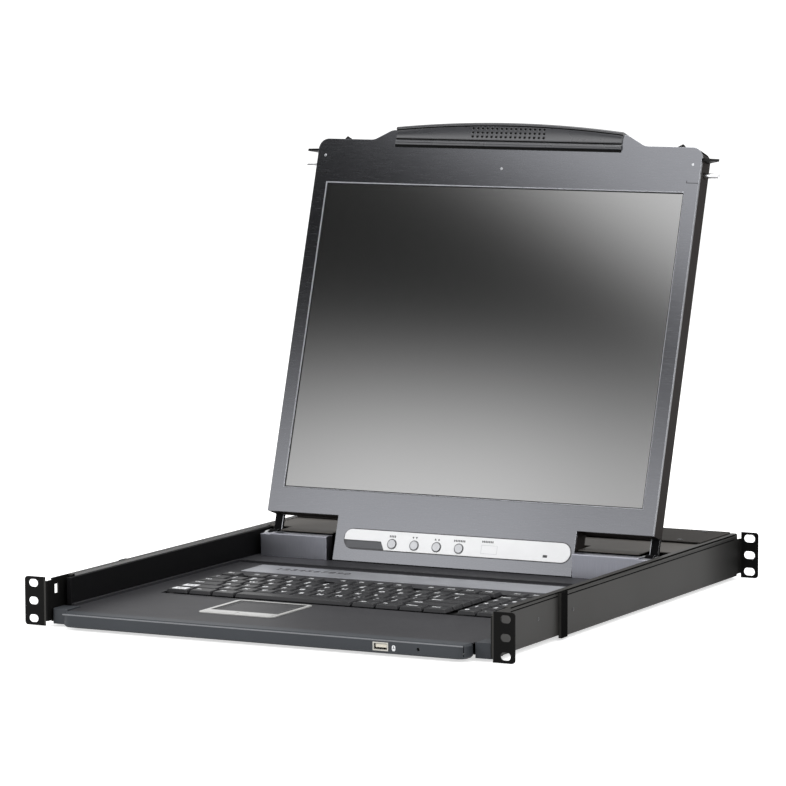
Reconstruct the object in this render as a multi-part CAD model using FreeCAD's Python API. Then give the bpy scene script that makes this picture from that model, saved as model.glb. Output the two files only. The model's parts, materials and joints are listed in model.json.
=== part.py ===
import FreeCAD, Part
import math
import os
from FreeCAD import Placement, Rotation, Vector

# Rackmount LCD console drawer, one rack unit high, drawn with the drawer in and the panel raised.
# Millimetres. +X is to the operator's right, +Y to the back of the rack, +Z up.
# The origin is the centre of the front ears' hole pattern, on the front face of the ears.
# Heights are given above the bottom of the rack unit, and up() turns one into a Z.

# Driving sizes: the rack's hole pattern, the hinge line, the space behind it and the two heights of the sheets
RACK_UNIT = 44.45
HOLE_SPAN = 465.1
HOLE_PITCH = 15.875
HINGE_Y = 383.4
HINGE_TO_BACK = 154.6
CHASSIS_BACK = HINGE_Y + HINGE_TO_BACK
CHASSIS_BOTTOM = 3.35
CHASSIS_TOP = 42.3

# Common allowances
CUT = 1.0
SEAT_GAP = 0.3
SNUG = 0.2

# Ears
SLOT_LENGTH = 9.8
SLOT_WIDTH = 7.0
HOLE_TO_EAR_END = 8.75
HOLE_TO_WALL = 12.8
EAR_WIDTH = HOLE_SPAN + 2 * HOLE_TO_EAR_END
EAR_HEIGHT = 43.6
EAR_CORNER = 3.0
EAR_STEP = 1.0

# Chassis sheet metal
WALL = 1.5
CHASSIS_HALF = HOLE_SPAN / 2 - HOLE_TO_WALL
NECK_LENGTH = 9.0
NECK_BOTTOM = CHASSIS_BOTTOM + 1.15
NECK_TOP = CHASSIS_TOP - 1.7
TOP_FLANGE = 6.0
BOTTOM_FLANGE = 8.0
FLANGE_START = 36.0
FLOOR_SHEET = 1.0
LATCH_Y = 16.2
LATCH_SLOT = 6.4
LATCH_HEIGHT = 8.4

# Fixed rear box
BOX_DEPTH = 78.0
BOX_FRONT = CHASSIS_BACK - BOX_DEPTH
BULKHEAD_SETBACK = 13.0
BULKHEAD_Y = BOX_FRONT + BULKHEAD_SETBACK
COVER_SHEET = 1.0
COVER_INSET = 5.15
COVER_CORNER = 6.0
CABLE_LOW = 12.0
CABLE_HIGH = 24.0
CABLE_SLOT_HALF = 30.0
BULKHEAD_SLOT_HALF = 40.0

# Power supply and board in the rear box
SUPPLY_INSET = 14.75
SUPPLY_WIDTH = 101.0
SUPPLY_HEIGHT = 30.0
SUPPLY_FRONT_GAP = 4.0
SUPPLY_BACK_GAP = 6.0
SUPPLY_EDGE = 1.0
BOARD_GAP = 9.0
BOARD_WIDTH = 155.0
BOARD_MARGIN = 6.0
BOARD_LIFT = 5.0
BOARD_SHEET = 1.6
PILLAR_WIDTH = 5.0
PILLAR_INSET = 7.0
# Chips: distance from the board's left and front edges, width, depth and height
CHIPS = ((15.0, 11.0, 18.0, 18.0, 1.6), (47.0, 13.0, 12.0, 12.0, 1.4), (119.0, 7.0, 14.0, 20.0, 8.0))

# Telescoping rear brackets
BRACKET_OUT = 3.25
BRACKET_SHEET = 1.5
BRACKET_BOTTOM = CHASSIS_BOTTOM - 1.05
BRACKET_TOP = CHASSIS_TOP - 1.3
BRACKET_BACK = CHASSIS_BACK + 0.8
BRACKET_LENGTH = 399.8
BRACKET_FRONT = BRACKET_BACK - BRACKET_LENGTH
BRACKET_GAP = 0.3
BRACKET_NECK_DROP = 3.0
REAR_SLOT_LENGTH = 11.5
REAR_SLOT_WIDTH = 7.5
COLLAR_LENGTH = 12.0
COLLAR_RISE = 0.5

# Telescoping slides
SLIDE_SPACE = 9.75
RAIL_BOTTOM = CHASSIS_BOTTOM + 8.15
RAIL_TOP = CHASSIS_TOP - 5.8
RAIL_FRONT = FLANGE_START + 6.0
RAIL_BACK = BOX_FRONT - 2.0
RAIL_SHEET = 0.9
RAIL_GAP = 0.3
RAIL_CURL = 1.8

# Drawer tray
TRAY_HALF = CHASSIS_HALF - SLIDE_SPACE
TRAY_SHEET = 1.0
TRAY_FLOOR_GAP = 0.45
TRAY_BOTTOM = CHASSIS_BOTTOM + FLOOR_SHEET + TRAY_FLOOR_GAP
TRAY_TOP = CHASSIS_TOP - 2.0
TRAY_FRONT = 27.5
TRAY_BACK = BULKHEAD_Y - 5.0
TRAY_FLANGE = 3.4
STOP_GAP = 0.4

# Keyboard deck
DECK_RISE = 10.0
DECK_TOP = TRAY_BOTTOM + DECK_RISE
DECK_SHEET = 1.2
DECK_FRONT = 6.0
DECK_BORDER = 2.6
DECK_BORDER_WIDTH = 3.0
REAR_DECK_TOP = DECK_TOP + 2.2

# Front lip moulding and the corner blocks beside it
LIP_INSET = 10.8
LIP_HALF = TRAY_HALF - LIP_INSET
LIP_FRONT = -9.4
LIP_BOTTOM = TRAY_BOTTOM - 2.7
LIP_CORNER = 9.0
LIP_SHELL = 2.4
LIP_EDGE = 1.8
CORNER_GAP = 2.0
CORNER_INNER = LIP_HALF + CORNER_GAP
CORNER_HALF = CHASSIS_HALF - 2.55
CORNER_FRONT = 6.5
CORNER_BOTTOM = LIP_BOTTOM - 0.3
CORNER_TOP = DECK_TOP + 0.6
CORNER_ROUND = 2.5

# Hinge
HINGE_HEIGHT = TRAY_TOP - 6.4
REST_OPEN = 107.6
PIN_RADIUS = 3.0
PIN_END = 1.2
PIN_CLEARANCE = 0.05
KNUCKLE = 6.5
STRAP = 3.3
TAB_LENGTH = 12.0
TOWER_FRONT = HINGE_Y - 17.9
TOWER_TOP = TRAY_TOP - 1.0
TOWER_DEPTH = 12.4
TOWER_NOTCH = 11.0
TOWER_SHEET = 1.2
TOWER_ROUND = 1.0
BRACKET_EAR = 2.5
BRACKET_EAR_HALF = 5.0
BRACKET_EAR_CHAMFER = 2.0
BRACKET_SPACE = 1.2
BRACKET_FOOT = 2.0
BRACKET_FOOT_BACK = 12.0
ARM_SPACE = 0.5
WELL_GAP = 0.6

# Lid over the back of the drawer
LID_EDGE = 0.9
LID_BACK_GAP = 1.0
LID_NOTCH_BACK = 17.0
LID_NOTCH_SIDE = 1.9
LID_APRON = 14.0

# Keyboard, placed from the hinge line forwards
REAR_DECK_START = TOWER_FRONT - 34.5
STRIP_BACK = REAR_DECK_START - 9.2
STRIP_DEPTH = 42.6
STRIP_FRONT = STRIP_BACK - STRIP_DEPTH
STRIP_INSET = 2.2
STRIP_SHEET = 0.5
KEY_PITCH = 19.05
KEY_GAP = 1.6
KEY_TAPER = 1.6
KEY_RISE = 3.6
KEY_TRAVEL = 2.0
STEM_WIDTH = 5.0
STEM_CLEARANCE = 0.3
SPACE_STEM_OFFSET = 42.0
FIELD_MARGIN = 3.0
FUNCTION_GAP = 5.0
PLATE_THICK = 1.5
PLATE_DROP = 1.0
PLATE_EDGE = 3.0
# Widths of the keys of each row in key units, from the front row back. A negative width is a gap.
ROW_WIDTHS = {
    "keys_bottom_row": [1.25, 1.25, 1.25, -6.25, 1.25, 1.25, 1.25, 1.25, -0.5, 1, 1, 1],
    "keys_shift_row": [2.25] + [1] * 10 + [2.75, -0.5, 1, 1, 1],
    "keys_home_row": [1.75] + [1] * 11 + [2.25, -0.5, 1, 1, 1],
    "keys_letter_row": [1.5] + [1] * 12 + [1.5, -0.5, 1, 1, 1],
    "keys_number_row": [1] * 13 + [2, -0.5, 1, 1, 1],
    "keys_function_row": [1, -0.5] + [1] * 4 + [-0.75] + [1] * 4 + [-0.75] + [1] * 4 + [-0.5, 1, 1, 1],
}
SPACE_START = 3.75
SPACE_UNITS = 6.25
FIELD_DEPTH = len(ROW_WIDTHS) * KEY_PITCH + FUNCTION_GAP + 2 * FIELD_MARGIN
FIELD_TO_STRIP = 22.0
FIELD_FRONT = STRIP_FRONT - FIELD_TO_STRIP - FIELD_DEPTH

# Touchpad in front of the keys
PAD_LEFT = -92.0
PAD_WIDTH = 76.0
PAD_DEPTH = 77.0
PAD_TO_FIELD = 8.9
PAD_FRONT = FIELD_FRONT - PAD_TO_FIELD - PAD_DEPTH
PAD_RIM = 4.0
PAD_BAR = 17.0
PAD_RISE = 0.9
PAD_CORNER = 5.0
PAD_SURFACE_RISE = 0.2
PAD_SURFACE_DROP = 2.0
PAD_CARRIER = 3.0
PAD_CARRIER_SHEET = 1.2
PAD_FOOT = 6.0
PAD_KEY_PROUD = 0.3
PAD_KEY_EDGE = 0.3

# Mouse port and lamp in the lip
PORT_X = LIP_HALF - 80.2
PORT_WIDTH = 13.2
PORT_HEIGHT = 5.8
PORT_DEPTH = 14.0
PORT_SETBACK = 0.3
PORT_SHELL = 0.5
PORT_TONGUE_INSET = 1.2
PORT_TONGUE_DROP = 1.0
PORT_TONGUE = 1.6
LAMP_X = LIP_HALF - 44.2
LAMP_RADIUS = 1.6
LAMP_BODY = 5.0
LAMP_LENGTH = 3.0
LIP_CENTRE_HEIGHT = LIP_BOTTOM + 6.1

# Panel, measured from the hinge axis: "along" runs up the panel, "out" runs towards the operator
FACE_OUT = 12.87
PANEL_THICK = 22.0
PANEL_INSET = 7.7
PANEL_HALF = TRAY_HALF - PANEL_INSET
WING_BOTTOM = 22.2
TONGUE_BOTTOM = -21.0
TONGUE_HALF = 125.1
CATCH_PIN_ALONG = HINGE_Y - LATCH_Y
SHOULDER = CATCH_PIN_ALONG + 24.4
CREST = SHOULDER + 10.0
CREST_HALF = TONGUE_HALF - 0.6
SLOPE_WIDTH = 18.5
SLOPE_RADIUS = 13.0
PANEL_CORNER = 10.0
BACK_CHAMFER = 1.0
BEZEL_PLATE = 1.5
BEZEL_RIM = 3.0
BEZEL_WALL = 1.2
COVER_WALL = 1.2
SCREEN_INSET = 13.9
SCREEN_HALF = PANEL_HALF - SCREEN_INSET
SCREEN_BOTTOM = WING_BOTTOM + 24.5
SCREEN_TOP = SHOULDER - 43.6
SCREEN_SHEET = 1.5
SCREEN_BORDER = 4.0
MODULE_BORDER = 7.0
MODULE_BACK = -4.0
BOSS_WIDTH = 8.0
BOSS_INSET = 16.0

# Hinge arms and towers beside the panel's tongue
ARM_OUTER = PANEL_HALF - 0.3
ARM_INNER = ARM_OUTER - 8.7
TOWER_OUTER = PANEL_HALF + 0.7
TOWER_LEFT_INNER = TONGUE_HALF + 6.9
TOWER_RIGHT_INNER = TONGUE_HALF + 0.8

# Control strip and its buttons
LABEL_LEFT = -115.0
LABEL_RIGHT = 121.6
LABEL_BOTTOM = -8.6
LABEL_TOP = 9.9
LABEL_SHEET = 0.4
LABEL_CUT = 8.1
LABEL_CUT_END = -72.0
LABEL_CUT_SLOPE = 4.0
BUTTON_RADIUS = 4.0
BUTTON_CLEARANCE = 0.3
BUTTON_PROUD = 0.9
BUTTON_LENGTH = 6.0
BUTTON_BODY = 10.4
BUTTON_TRAVEL = 0.8
BUTTON_FIRST = -64.0
BUTTON_STEP = 23.5
BUTTON_ALONG = -2.2
BUTTON_COUNT = 4
RESET_X = 96.1
RESET_ALONG = -3.7
RESET_WIDTH = 4.6
RESET_HEIGHT = 2.4
SWITCH_BOARD_LEFT = 15.0
SWITCH_BOARD_RIGHT = 12.0
SWITCH_POST = 5.0
SWITCH_POST_INSET = 7.0

# Handle
HANDLE_HALF = CREST_HALF - 5.0
HANDLE_BOTTOM = CREST - 16.6
HANDLE_END_TOP = CREST + 2.9
HANDLE_CREST = CREST + 9.3
HANDLE_PROUD = 3.0
HANDLE_BACK = -4.0
HANDLE_BEVEL = 1.6

# Catches
CATCH_PIN_OUT = 1.87
CATCH_PIN_RADIUS = 2.5
CATCH_PIN_TIP = CHASSIS_HALF - 1.85
CATCH_PIN_CHAMFER = 0.8
CATCH_PIN_HOLE = 0.3
CATCH_FIN_ALONG = CATCH_PIN_ALONG + 13.0
CATCH_FIN_SHEET = 2.4
CATCH_FIN_TIP = CHASSIS_HALF - 2.45
CATCH_FIN_TIP_OUT = 6.4
CATCH_FIN_LOW = -4.5
CATCH_FIN_HIGH = 8.5
CATCH_FIN_ROOT = 9.0
CATCH_BUMP_INSET = 27.3
CATCH_BUMP_X = PANEL_HALF - CATCH_BUMP_INSET
CATCH_BUMP_WIDTH = 14.0
CATCH_BUMP_RISE = 5.2
CATCH_BUMP_LEAN = 0.35
CATCH_THICK = 4.0
CATCH_BAR_LOW = 5.0
CATCH_BAR_TOP = 6.0
CATCH_BAR_END = 4.0
CATCH_TRAVEL = 8.0
CATCH_GAP = 0.4

# Rear sockets
SOCKET_HEIGHT = CHASSIS_BOTTOM + 18.65
INLET_X = -(CHASSIS_HALF - 54.75)
INLET_WIDTH = 27.0
INLET_HEIGHT = 20.0
INLET_DEPTH = 24.0
INLET_FLANGE = 3.0
INLET_FLANGE_SHEET = 1.5
INLET_SHELL = 1.5
INLET_SHOULDER = 6.0
INLET_FLOOR = 3.0
BLADE_WIDTH = 2.0
BLADE_HEIGHT = 4.0
BLADE_SETBACK = 4.0
BLADE_PLACES = ((-7.0, -2.0), (0.0, 2.0), (7.0, -2.0))
ROCKER_X = INLET_X + 37.0
ROCKER_WIDTH = 13.0
ROCKER_HEIGHT = 19.0
ROCKER_TILT = 14.0
ROCKER_PIVOT = 5.0
ROCKER_DEPTH = 9.0
ROCKER_ROOT = 3.0
ROCKER_DISH = 1.2
ROCKER_SETBACK = 1.3
ROCKER_PROUD = 0.4
ROCKER_RIM = 4.0
ROCKER_WELL_DEPTH = 14.0
ROCKER_WELL_WALL = 2.0
VIDEO_X = -60.0
VIDEO_WIDTH = 30.8
VIDEO_HEIGHT = 12.0
VIDEO_SHEET = 1.2
VIDEO_LOW_HALF = 8.0
VIDEO_HIGH_HALF = 9.4
VIDEO_SHELL_HALF = 4.0
VIDEO_SHELL = 0.7
VIDEO_PROUD = 4.5
VIDEO_FLOOR = 1.5
VIDEO_BODY = 12.0
LINK_X = 0.0
LINK_SIZE = 12.0
LINK_DEPTH = 16.0
LINK_PROUD = 0.6
LINK_WALL = 1.5
LINK_MOUTH_DEPTH = 9.0
LINK_TONGUE_HALF = 2.8
LINK_TONGUE_RISE = 1.5
VENT_COUNT = 12
VENT_FIRST_X = 70.0
VENT_STEP = 7.0
VENT_WIDTH = 3.0
VENT_LENGTH = 20.0


def up(height):
    """The Z of a height above the bottom of the rack unit."""
    return height - RACK_UNIT / 2


def span(a, b):
    """Two numbers in rising order."""
    return min(a, b), max(a, b)


def about(middle, width):
    """The two ends of a width on its middle."""
    return middle - width / 2, middle + width / 2


def heights(low, high):
    """The Z range between two heights above the bottom of the rack unit."""
    return up(low), up(high)


def block(x, y, z):
    """A box from three (low, high) pairs, given in either order."""
    (x0, x1), (y0, y1), (z0, z1) = span(*x), span(*y), span(*z)
    return Part.makeBox(x1 - x0, y1 - y0, z1 - z0, Vector(x0, y0, z0))


def rod(radius, start, along):
    """A cylinder from start, as long as the vector along."""
    return Part.makeCylinder(radius, along.Length, start, along)


def frustum(base, crown):
    """A solid between two four-sided outlines of 3D points."""
    sides = [[base[i - 1], base[i], crown[i], crown[i - 1]] for i in range(len(base))]
    faces = [Part.Face(Part.makePolygon(points + points[:1])) for points in [base, crown] + sides]
    return Part.makeSolid(Part.makeShell(faces))


def rounded(points, radii):
    """A closed wire through 2D points in the XY plane, each corner with its own radius."""
    corners = [Vector(x, y, 0) for x, y in points]
    starts, ends, arcs = [], [], {}
    for i, corner in enumerate(corners):
        before = (corners[i - 1] - corner).normalize()
        after = (corners[(i + 1) % len(corners)] - corner).normalize()
        half = before.getAngle(after) / 2
        if radii[i] <= 0 or abs(half - math.pi / 2) < 1e-6:
            starts.append(corner)
            ends.append(corner)
            continue
        cut = radii[i] / math.tan(half)
        first, last = corner + before * cut, corner + after * cut
        bisector = (before + after).normalize()
        centre = corner + bisector * (radii[i] / math.sin(half))
        arcs[i] = Part.Arc(first, centre - bisector * radii[i], last).toShape()
        starts.append(first)
        ends.append(last)
    wire = []
    for i, end in enumerate(ends):
        if i in arcs:
            wire.append(arcs[i])
        following = starts[(i + 1) % len(starts)]
        if (following - end).Length > 1e-6:
            wire.append(Part.makeLine(end, following))
    return Part.Wire(wire)


def plate(points, radii, low, high):
    """A rounded outline in XY, extruded from Z = low to Z = high."""
    if not isinstance(radii, (list, tuple)):
        radii = [radii] * len(points)
    solid = Part.Face(rounded(points, radii)).extrude(Vector(0, 0, high - low))
    solid.translate(Vector(0, 0, low))
    return solid


def rectangle(x, y):
    """The corners of a rectangle from two (low, high) pairs."""
    (x0, x1), (y0, y1) = span(*x), span(*y)
    return [(x0, y0), (x1, y0), (x1, y1), (x0, y1)]


def folded(centre, sheet, bend):
    """Outline of a bent sheet from its middle line, thickness and outer bend radius (0 for square bends)."""
    line = [Vector(x, y, 0) for x, y in centre]
    left, right = [], []
    last = len(line) - 1
    for i, point in enumerate(line):
        ahead = (line[min(i + 1, last)] - line[min(i, last - 1)]).normalize()
        behind = (line[max(i, 1)] - line[max(i - 1, 0)]).normalize()
        normal = (Vector(-ahead.y, ahead.x, 0) + Vector(-behind.y, behind.x, 0)).normalize()
        reach = sheet / 2 / normal.dot(Vector(-ahead.y, ahead.x, 0))
        turn = behind.x * ahead.y - behind.y * ahead.x
        left.append((point + normal * reach, bend if turn < -1e-6 else 0))
        right.append((point - normal * reach, bend if turn > 1e-6 else 0))
    both = left + right[::-1]
    return [(p.x, p.y) for p, _ in both], [r for _, r in both]


def standing(points, radii, y_start, y_end):
    """An outline given as (X, height) extruded along Y."""
    solid = plate([(x, up(h)) for x, h in points], radii, 0, y_end - y_start)
    solid.rotate(Vector(0, 0, 0), Vector(1, 0, 0), 90)
    solid.translate(Vector(0, y_end, 0))
    return solid


def sideways(points, radii, x_start, x_end):
    """An outline given as (Y, height) extruded along X."""
    solid = plate([(y, up(h)) for y, h in points], radii, 0, abs(x_end - x_start))
    solid.rotate(Vector(0, 0, 0), Vector(1, 1, 1), 120)
    solid.translate(Vector(min(x_start, x_end), 0, 0))
    return solid


def mirrored(shape):
    """The same piece on the other side."""
    return shape.mirror(Vector(0, 0, 0), Vector(1, 0, 0))


def both_sides(build):
    """The right piece and the left one from a builder of the right piece."""
    right = build()
    return right, mirrored(right)


def slot_cutter(height, length, width, y_start, y_end):
    """A horizontal round-ended slot through an ear, on its hole column."""
    points = rectangle(about(HOLE_SPAN / 2, length), about(height, width))
    return standing(points, width / 2 - 0.01, y_start, y_end)


def ear_heights():
    """The three hole heights of one rack unit."""
    return [RACK_UNIT / 2 + k * HOLE_PITCH for k in (-1, 0, 1)]


def ear(inner, y_start, y_end):
    """Ear plate from its inner edge to the rack width, with two rounded outer corners."""
    outline = rectangle((inner, EAR_WIDTH / 2), about(RACK_UNIT / 2, EAR_HEIGHT))
    return standing(outline, [0, EAR_CORNER, EAR_CORNER, 0], y_start, y_end)


# ---------------------------------------------------------------- chassis


def latch_z():
    """Height of the catch pin when the panel is shut."""
    return HINGE_HEIGHT - CATCH_PIN_OUT


def chassis_wall():
    """Right wall: ear, neck, side and its two flanges, bent from one sheet."""
    middle = CHASSIS_HALF - WALL / 2
    ear_line = [(EAR_WIDTH / 2 - EAR_CORNER, WALL / 2), (middle, WALL / 2), (middle, NECK_LENGTH)]
    points, radii = folded(ear_line, WALL, WALL)
    neck = plate(points, radii, *heights(NECK_BOTTOM, NECK_TOP))
    cheek = block((CHASSIS_HALF - WALL, CHASSIS_HALF), (NECK_LENGTH, FLANGE_START),
                  heights(CHASSIS_BOTTOM, CHASSIS_TOP))
    low, high = CHASSIS_BOTTOM + WALL / 2, CHASSIS_TOP - WALL / 2
    side_line = [(CHASSIS_HALF - BOTTOM_FLANGE, low), (middle, low),
                 (middle, high), (CHASSIS_HALF - TOP_FLANGE, high)]
    points, radii = folded(side_line, WALL, WALL)
    side = standing(points, radii, FLANGE_START, CHASSIS_BACK)
    wall = neck.fuse([ear(CHASSIS_HALF + EAR_STEP, 0, WALL), cheek, side])
    slots = [slot_cutter(h, SLOT_LENGTH, SLOT_WIDTH, -CUT, WALL + CUT) for h in ear_heights()]
    latch = block((CHASSIS_HALF - WALL - CUT, CHASSIS_HALF + CUT), about(LATCH_Y, LATCH_SLOT),
                  heights(*about(latch_z(), LATCH_HEIGHT)))
    return wall.cut(slots + [latch]).removeSplitter()


def chassis_floor():
    """Bottom sheet between the two bottom flanges."""
    half = CHASSIS_HALF - BOTTOM_FLANGE
    return block((-half, half), (TRAY_FRONT + SEAT_GAP, CHASSIS_BACK),
                 heights(CHASSIS_BOTTOM, CHASSIS_BOTTOM + FLOOR_SHEET))


def floor_top():
    return CHASSIS_BOTTOM + FLOOR_SHEET


def rear_cover():
    """Fixed lid of the rear box, resting on the wall flanges."""
    half = CHASSIS_HALF - COVER_INSET
    return plate(rectangle((-half, half), (BOX_FRONT, CHASSIS_BACK)), [0, 0, COVER_CORNER, COVER_CORNER],
                 *heights(CHASSIS_TOP, CHASSIS_TOP + COVER_SHEET))


def wall_inside():
    return CHASSIS_HALF - WALL


def rear_panel():
    """Back plate with the openings for the sockets and the cooling slots."""
    half = wall_inside() - SEAT_GAP
    back = block((-half, half), (CHASSIS_BACK - WALL, CHASSIS_BACK),
                 heights(CHASSIS_BOTTOM + WALL, CHASSIS_TOP - WALL))
    vents = [opening(VENT_FIRST_X + k * VENT_STEP, VENT_WIDTH, VENT_LENGTH) for k in range(VENT_COUNT)]
    return back.cut(vents + [
        opening(INLET_X, INLET_WIDTH, INLET_HEIGHT),
        opening(ROCKER_X, rocker_well()[0] + 2 * SEAT_GAP, rocker_well()[1] + 2 * SEAT_GAP),
        opening(VIDEO_X, 2 * (VIDEO_HIGH_HALF + SEAT_GAP), 2 * (VIDEO_SHELL_HALF + SEAT_GAP)),
        opening(LINK_X, LINK_SIZE, LINK_SIZE),
    ])


def opening(x, width, height):
    """A cutter through the rear panel, centred on the socket line."""
    return block(about(x, width), (CHASSIS_BACK - WALL - CUT, CHASSIS_BACK + CUT),
                 heights(*about(SOCKET_HEIGHT, height)))


def rear_bulkhead():
    """Partition between the drawer space and the rear box, with a cable slot."""
    half = CHASSIS_HALF - BOTTOM_FLANGE
    sheet = block((-half, half), (BULKHEAD_Y, BULKHEAD_Y + WALL), heights(floor_top(), CHASSIS_TOP))
    return sheet.cut(cable_slot(BULKHEAD_SLOT_HALF, BULKHEAD_Y, WALL))


def supply_left():
    return SUPPLY_INSET - CHASSIS_HALF


def mainboard():
    """Circuit board on four pillars with its chips and connectors, behind the bulkhead."""
    left = supply_left() + SUPPLY_WIDTH + BOARD_GAP
    right = left + BOARD_WIDTH
    front, back = BULKHEAD_Y + BOARD_MARGIN, CHASSIS_BACK - BOARD_MARGIN
    low = floor_top() + BOARD_LIFT
    top = low + BOARD_SHEET
    board = block((left, right), (front, back), heights(low, top))
    pillars = [post(x, y, PILLAR_WIDTH, floor_top(), low)
               for x in (left + PILLAR_INSET, right - PILLAR_INSET)
               for y in (front + PILLAR_INSET, back - PILLAR_INSET)]
    chips = [block((left + x, left + x + width), (front + y, front + y + depth), heights(top, top + height))
             for x, y, width, depth, height in CHIPS]
    return board.fuse(pillars + chips)


def power_supply():
    """Enclosed supply beside the board."""
    left = supply_left()
    y = (BULKHEAD_Y + SUPPLY_FRONT_GAP, CHASSIS_BACK - INLET_DEPTH - SUPPLY_BACK_GAP)
    case = block((left, left + SUPPLY_WIDTH), y, heights(floor_top(), floor_top() + SUPPLY_HEIGHT))
    upright = [e for e in case.Edges if e.BoundBox.ZLength > SUPPLY_HEIGHT / 2]
    return case.makeChamfer(SUPPLY_EDGE, upright)


def socket_block(x, half_width, y, half_height):
    """A box on the socket line from its half sizes."""
    return block((x - half_width, x + half_width), y,
                 heights(SOCKET_HEIGHT - half_height, SOCKET_HEIGHT + half_height))


def power_inlet():
    """Three-pin inlet: flange outside the panel, body inside, a hollow with three blades."""
    y = CHASSIS_BACK
    half_w, half_h = INLET_WIDTH / 2, INLET_HEIGHT / 2
    outline = rectangle(about(INLET_X, INLET_WIDTH + 2 * INLET_FLANGE),
                        about(SOCKET_HEIGHT, INLET_HEIGHT + 2 * INLET_FLANGE))
    flange = standing(outline, 0, y, y + INLET_FLANGE_SHEET)
    body = socket_block(INLET_X, half_w - SNUG, (y - INLET_DEPTH, y), half_h - SNUG)
    side, top = half_w - INLET_SHELL, SOCKET_HEIGHT + half_h - INLET_SHELL
    shoulder = INLET_SHOULDER - INLET_SHELL
    low = SOCKET_HEIGHT - half_h + INLET_SHELL
    mouth = [(INLET_X - side, low), (INLET_X + side, low), (INLET_X + side, top - shoulder),
             (INLET_X + side - shoulder, top), (INLET_X - side + shoulder, top),
             (INLET_X - side, top - shoulder)]
    hollow = standing(mouth, 0, y - INLET_DEPTH + INLET_FLOOR, y + INLET_FLANGE_SHEET + CUT)
    length = (y - INLET_DEPTH + INLET_FLOOR - CUT, y - BLADE_SETBACK)
    blades = [block(about(INLET_X + dx, BLADE_WIDTH), length,
                    heights(*about(SOCKET_HEIGHT + dz, BLADE_HEIGHT))) for dx, dz in BLADE_PLACES]
    inlet = flange.fuse(body).cut(hollow).fuse(blades)
    return Part.makeCompound([inlet, rocker_frame()])


def rocker_well():
    """Width and height of the well behind the rocker's rim."""
    return ROCKER_WIDTH + 2 * ROCKER_WELL_WALL, ROCKER_HEIGHT + 2 * (ROCKER_WELL_WALL - CUT) - 2 * SNUG


def rocker_frame():
    """Frame that carries the power rocker."""
    y = CHASSIS_BACK
    half_w, half_h = ROCKER_WIDTH / 2, ROCKER_HEIGHT / 2
    width, height = rocker_well()
    rim = socket_block(ROCKER_X, half_w + ROCKER_RIM, (y, y + INLET_FLANGE_SHEET), half_h + INLET_FLANGE)
    well = socket_block(ROCKER_X, width / 2, (y - ROCKER_WELL_DEPTH, y), height / 2)
    depth = (y - ROCKER_WELL_DEPTH + ROCKER_WELL_WALL, y + INLET_FLANGE_SHEET + CUT)
    hollow = socket_block(ROCKER_X, half_w + ROCKER_PROUD, depth, half_h - SNUG)
    return rim.fuse(well).cut(hollow)


def power_rocker():
    """Rocker cap: a shallow wedge that turns about a cross axis inside its frame."""
    y = CHASSIS_BACK + ROCKER_PROUD
    reach = ROCKER_HEIGHT / 2 - ROCKER_SETBACK
    points = [(y - ROCKER_DEPTH, SOCKET_HEIGHT + ROCKER_ROOT),
              (y - ROCKER_DEPTH, SOCKET_HEIGHT - ROCKER_ROOT),
              (y + ROCKER_DISH, SOCKET_HEIGHT - reach), (y, SOCKET_HEIGHT),
              (y + ROCKER_DISH, SOCKET_HEIGHT + reach)]
    cap = sideways(points, 0, *about(ROCKER_X, ROCKER_WIDTH))
    pivot = Vector(0, CHASSIS_BACK - ROCKER_PIVOT, up(SOCKET_HEIGHT))
    return cap.rotate(pivot, Vector(1, 0, 0), -ROCKER_TILT / 2)


def video_form(shell, y_start, y_end):
    """The socket's tapered form, pulled in by its shell."""
    low, high, half = VIDEO_LOW_HALF - shell, VIDEO_HIGH_HALF - shell, VIDEO_SHELL_HALF - shell
    points = [(VIDEO_X - low, SOCKET_HEIGHT - half), (VIDEO_X + low, SOCKET_HEIGHT - half),
              (VIDEO_X + high, SOCKET_HEIGHT + half), (VIDEO_X - high, SOCKET_HEIGHT + half)]
    return standing(points, 0, y_start, y_end)


def rear_ports():
    """Video socket with its shell, and the square link socket."""
    y = CHASSIS_BACK
    inside = y - WALL - VIDEO_SHEET
    plate_back = socket_block(VIDEO_X, VIDEO_WIDTH / 2, (inside, y - WALL), VIDEO_HEIGHT / 2)
    housing = socket_block(VIDEO_X, VIDEO_LOW_HALF + CUT, (inside - VIDEO_BODY + VIDEO_SHEET, inside),
                           VIDEO_SHELL_HALF + CUT)
    shell = video_form(0, y - WALL, y + VIDEO_PROUD)
    bore = video_form(VIDEO_SHELL, y - VIDEO_FLOOR, y + VIDEO_PROUD + CUT)
    video = plate_back.fuse([shell, housing]).cut(bore)
    half = LINK_SIZE / 2 - SEAT_GAP
    link = socket_block(LINK_X, half, (y - LINK_DEPTH, y + LINK_PROUD), half)
    inner = half - LINK_WALL
    mouth = socket_block(LINK_X, inner, (y - LINK_MOUTH_DEPTH, y + LINK_PROUD + CUT), inner)
    tongue = socket_block(LINK_X, LINK_TONGUE_HALF, (y - LINK_MOUTH_DEPTH - CUT, y - CUT), LINK_TONGUE_RISE)
    return Part.makeCompound([video, link.cut(mouth).fuse(tongue)])


# ---------------------------------------------------------------- slides


def rail_profile(outer_x, inner_x, inset):
    """Middle line of a C rail that opens inwards: lips curl back at both ends."""
    x0, x1 = inner_x + RAIL_SHEET / 2, outer_x - RAIL_SHEET / 2
    low, high = RAIL_BOTTOM + inset + RAIL_SHEET / 2, RAIL_TOP - inset - RAIL_SHEET / 2
    return [(x0, low + RAIL_CURL), (x0, low), (x1, low), (x1, high), (x0, high), (x0, high - RAIL_CURL)]


def rail(middle_line):
    """A member of the slide, rolled from its middle line."""
    points, radii = folded(middle_line, RAIL_SHEET, 0)
    return standing(points, radii, RAIL_FRONT, RAIL_BACK)


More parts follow.
